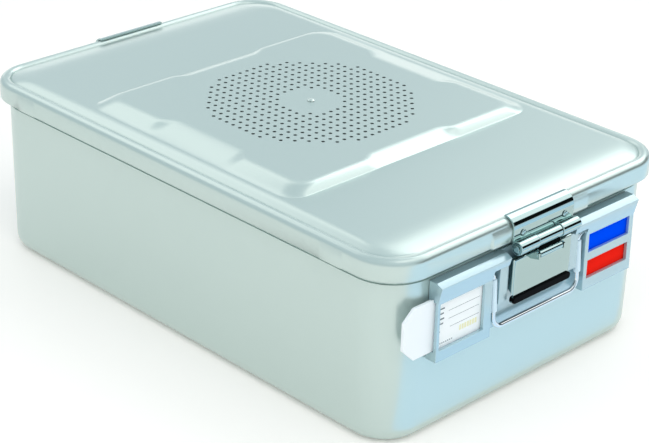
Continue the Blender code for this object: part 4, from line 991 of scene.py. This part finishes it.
def camera_axes(yaw, pitch, roll):
    """The camera's right, up and forward directions."""
    yaw, pitch, roll = (math.radians(angle) for angle in (yaw, pitch, roll))
    forward = Vector((-math.sin(yaw) * math.cos(pitch), math.cos(yaw) * math.cos(pitch),
                      math.sin(pitch)))
    level = Vector((math.cos(yaw), math.sin(yaw), 0.0))
    raised = level.cross(forward)
    right = math.cos(roll) * level + math.sin(roll) * raised
    up = -math.sin(roll) * level + math.cos(roll) * raised
    return right, up, forward


def photo_camera():
    """The camera at the photograph's place and angle."""
    right, up, forward = camera_axes(*CAMERA_TURN)
    lens = bpy.data.cameras.new("photo_camera")
    lens.sensor_width = SENSOR_WIDTH
    lens.lens = FOCAL_PIXELS * SENSOR_WIDTH / PHOTO_WIDTH
    camera = new_object("photo_camera", lens)
    rows = [(right[i], up[i], -forward[i], CAMERA_PLACE[i]) for i in range(3)]
    camera.matrix_world = Matrix(rows + [(0.0, 0.0, 0.0, 1.0)])
    return camera


def softbox(name, place, width, height, watts):
    """A soft lamp that shines on the container and shows in no reflection."""
    lamp = bpy.data.lights.new(name, "AREA")
    lamp.shape = "RECTANGLE"
    lamp.size, lamp.size_y = width, height
    lamp.energy = watts
    obj = new_object(name, lamp)
    obj.location = sky(*place)
    heading = Vector(LAMP_TARGET) - Vector(sky(*place))
    obj.rotation_euler = heading.to_track_quat("-Z", "Y").to_euler()
    obj.visible_glossy = False
    return obj


def sky(azimuth, elevation, distance):
    """A place in the room, seen from the container's middle."""
    azimuth, elevation = math.radians(azimuth), math.radians(elevation)
    flat = math.cos(elevation)
    return (distance * flat * math.cos(azimuth), distance * flat * math.sin(azimuth),
            ROOM_MIDDLE + distance * math.sin(elevation))


def card(name, start, end, low, high, strength):
    """A curved white or black card, as beside a photographer's table."""
    bm = bmesh.new()
    edge = bm.edges.new([bm.verts.new(sky(start, height, CARD_DISTANCE)) for height in (low, high)])
    bmesh.ops.spin(bm, geom=[*edge.verts, edge], cent=(0.0, 0.0, 0.0), axis=(0.0, 0.0, 1.0),
                   dvec=(0.0, 0.0, 0.0), angle=math.radians(end - start), steps=CARD_STEPS)
    return reflected(name, bm, (1.0, 1.0, 1.0), strength)


def reflected(name, bm, colour, strength):
    """A glowing card that neither the camera nor matt surfaces see."""
    cloth = finish(name, (0.01, 0.01, 0.01), roughness=1.0, specular=0.0)
    values = cloth.node_tree.nodes["Principled BSDF"].inputs
    values["Emission Color"].default_value = (*colour, 1.0)
    values["Emission Strength"].default_value = strength
    mesh = new_mesh(name, bm)
    mesh.materials.append(cloth)
    obj = new_object(name, mesh)
    obj.visible_camera = False
    obj.visible_diffuse = False
    obj.visible_shadow = False
    return obj


def floor_card(name):
    """A tinted card on the floor, open where the steel's reflections fall."""
    (x0, x1, x2, x3), (y0, y1, y2, y3) = FLOOR_CARD_ACROSS, FLOOR_CARD_OUT
    bm = bmesh.new()
    for left, right, near, far in ((x0, x1, y0, y3), (x2, x3, y0, y3),
                                   (x1, x2, y0, y1), (x1, x2, y2, y3)):
        plate(bm, [at(x, out, FLOOR_CARD_HEIGHT) for x, out in
                   ((left, far), (right, far), (right, near), (left, near))])
    return reflected(name, bm, FLOOR_CARD_COLOUR, FLOOR_CARD_STRENGTH)


def pale_floor():
    bm = bmesh.new()
    bmesh.ops.create_grid(bm, x_segments=1, y_segments=1, size=FLOOR_HALF)
    mesh = new_mesh("floor", bm)
    mesh.materials.append(floor_finish())
    return new_object("floor", mesh)


def floor_finish():
    """A pale floor that keeps its shadows and looks near white to the camera and reflections."""
    material = bpy.data.materials.new("pale_floor")
    material.use_nodes = True
    nodes, link = material.node_tree.nodes, material.node_tree.links.new
    values = nodes["Principled BSDF"].inputs
    values["Base Color"].default_value = (*colours().floor, 1.0)
    values["Roughness"].default_value = FLOOR_ROUGHNESS
    values["Specular IOR Level"].default_value = FLOOR_SPECULAR
    values["Emission Color"].default_value = (1.0, 1.0, 1.0, 1.0)
    path = nodes.new("ShaderNodeLightPath")
    seen, both, scaled = (nodes.new("ShaderNodeMath") for _ in range(3))
    seen.operation = both.operation = "ADD"
    scaled.operation = "MULTIPLY"
    scaled.inputs[1].default_value = FLOOR_GLOW
    link(path.outputs["Is Camera Ray"], seen.inputs[0])
    link(path.outputs["Is Glossy Ray"], seen.inputs[1])
    link(seen.outputs[0], both.inputs[0])
    link(path.outputs["Is Transmission Ray"], both.inputs[1])
    link(both.outputs[0], scaled.inputs[0])
    link(scaled.outputs[0], values["Emission Strength"])
    return material


class CONTAINER_OT_stage(bpy.types.Operator):
    """Set the floor, the soft lamps, the world and the camera"""
    bl_idname = "container.stage"
    bl_label = "Stage"

    def execute(self, context):
        scene = context.scene
        camera = photo_camera()
        scene.camera = camera
        floor = pale_floor()
        lamps = [softbox(*lamp) for lamp in LAMPS]
        cards = [card(*values) for values in CARDS] + [floor_card("blue_card")]
        world = bpy.data.worlds.new("pale_room")
        scene.world = world
        world.use_nodes = True
        background = world.node_tree.nodes["Background"].inputs
        background["Color"].default_value = ROOM_COLOUR
        background["Strength"].default_value = ROOM_STRENGTH
        scene.view_settings.view_transform = "Standard"
        return {"FINISHED"}


OPERATORS = (CONTAINER_OT_base, CONTAINER_OT_lid, CONTAINER_OT_filter, CONTAINER_OT_panels,
             CONTAINER_OT_labels, CONTAINER_OT_handles, CONTAINER_OT_brackets,
             CONTAINER_OT_links, CONTAINER_OT_levers, CONTAINER_OT_keepers, CONTAINER_OT_stage)


class CONTAINER_PT_panel(bpy.types.Panel):
    """The container's sizes, colours and steps"""
    bl_idname = "CONTAINER_PT_panel"
    bl_label = "Sterilization Container"
    bl_space_type = "VIEW_3D"
    bl_region_type = "UI"
    bl_category = "Container"

    def draw(self, context):
        layout = self.layout
        for group in (context.scene.container_sizes, context.scene.container_colours):
            column = layout.column(align=True)
            for name in group.__annotations__:
                column.prop(group, name)
        for step in OPERATORS:
            layout.operator(step.bl_idname)


CLASSES = (ContainerSizes, ContainerColours) + OPERATORS + (CONTAINER_PT_panel,)


def register():
    for cls in CLASSES:
        bpy.utils.register_class(cls)
    bpy.types.Scene.container_sizes = bpy.props.PointerProperty(type=ContainerSizes)
    bpy.types.Scene.container_colours = bpy.props.PointerProperty(type=ContainerColours)


def unregister():
    del bpy.types.Scene.container_colours
    del bpy.types.Scene.container_sizes
    for cls in reversed(CLASSES):
        bpy.utils.unregister_class(cls)


def main():
    register()
    steps = bpy.ops.container
    for step in (steps.base, steps.lid, steps.filter, steps.panels, steps.labels, steps.handles,
                 steps.brackets, steps.links, steps.levers, steps.keepers, steps.stage):
        step()


if __name__ == "__main__":
    main()
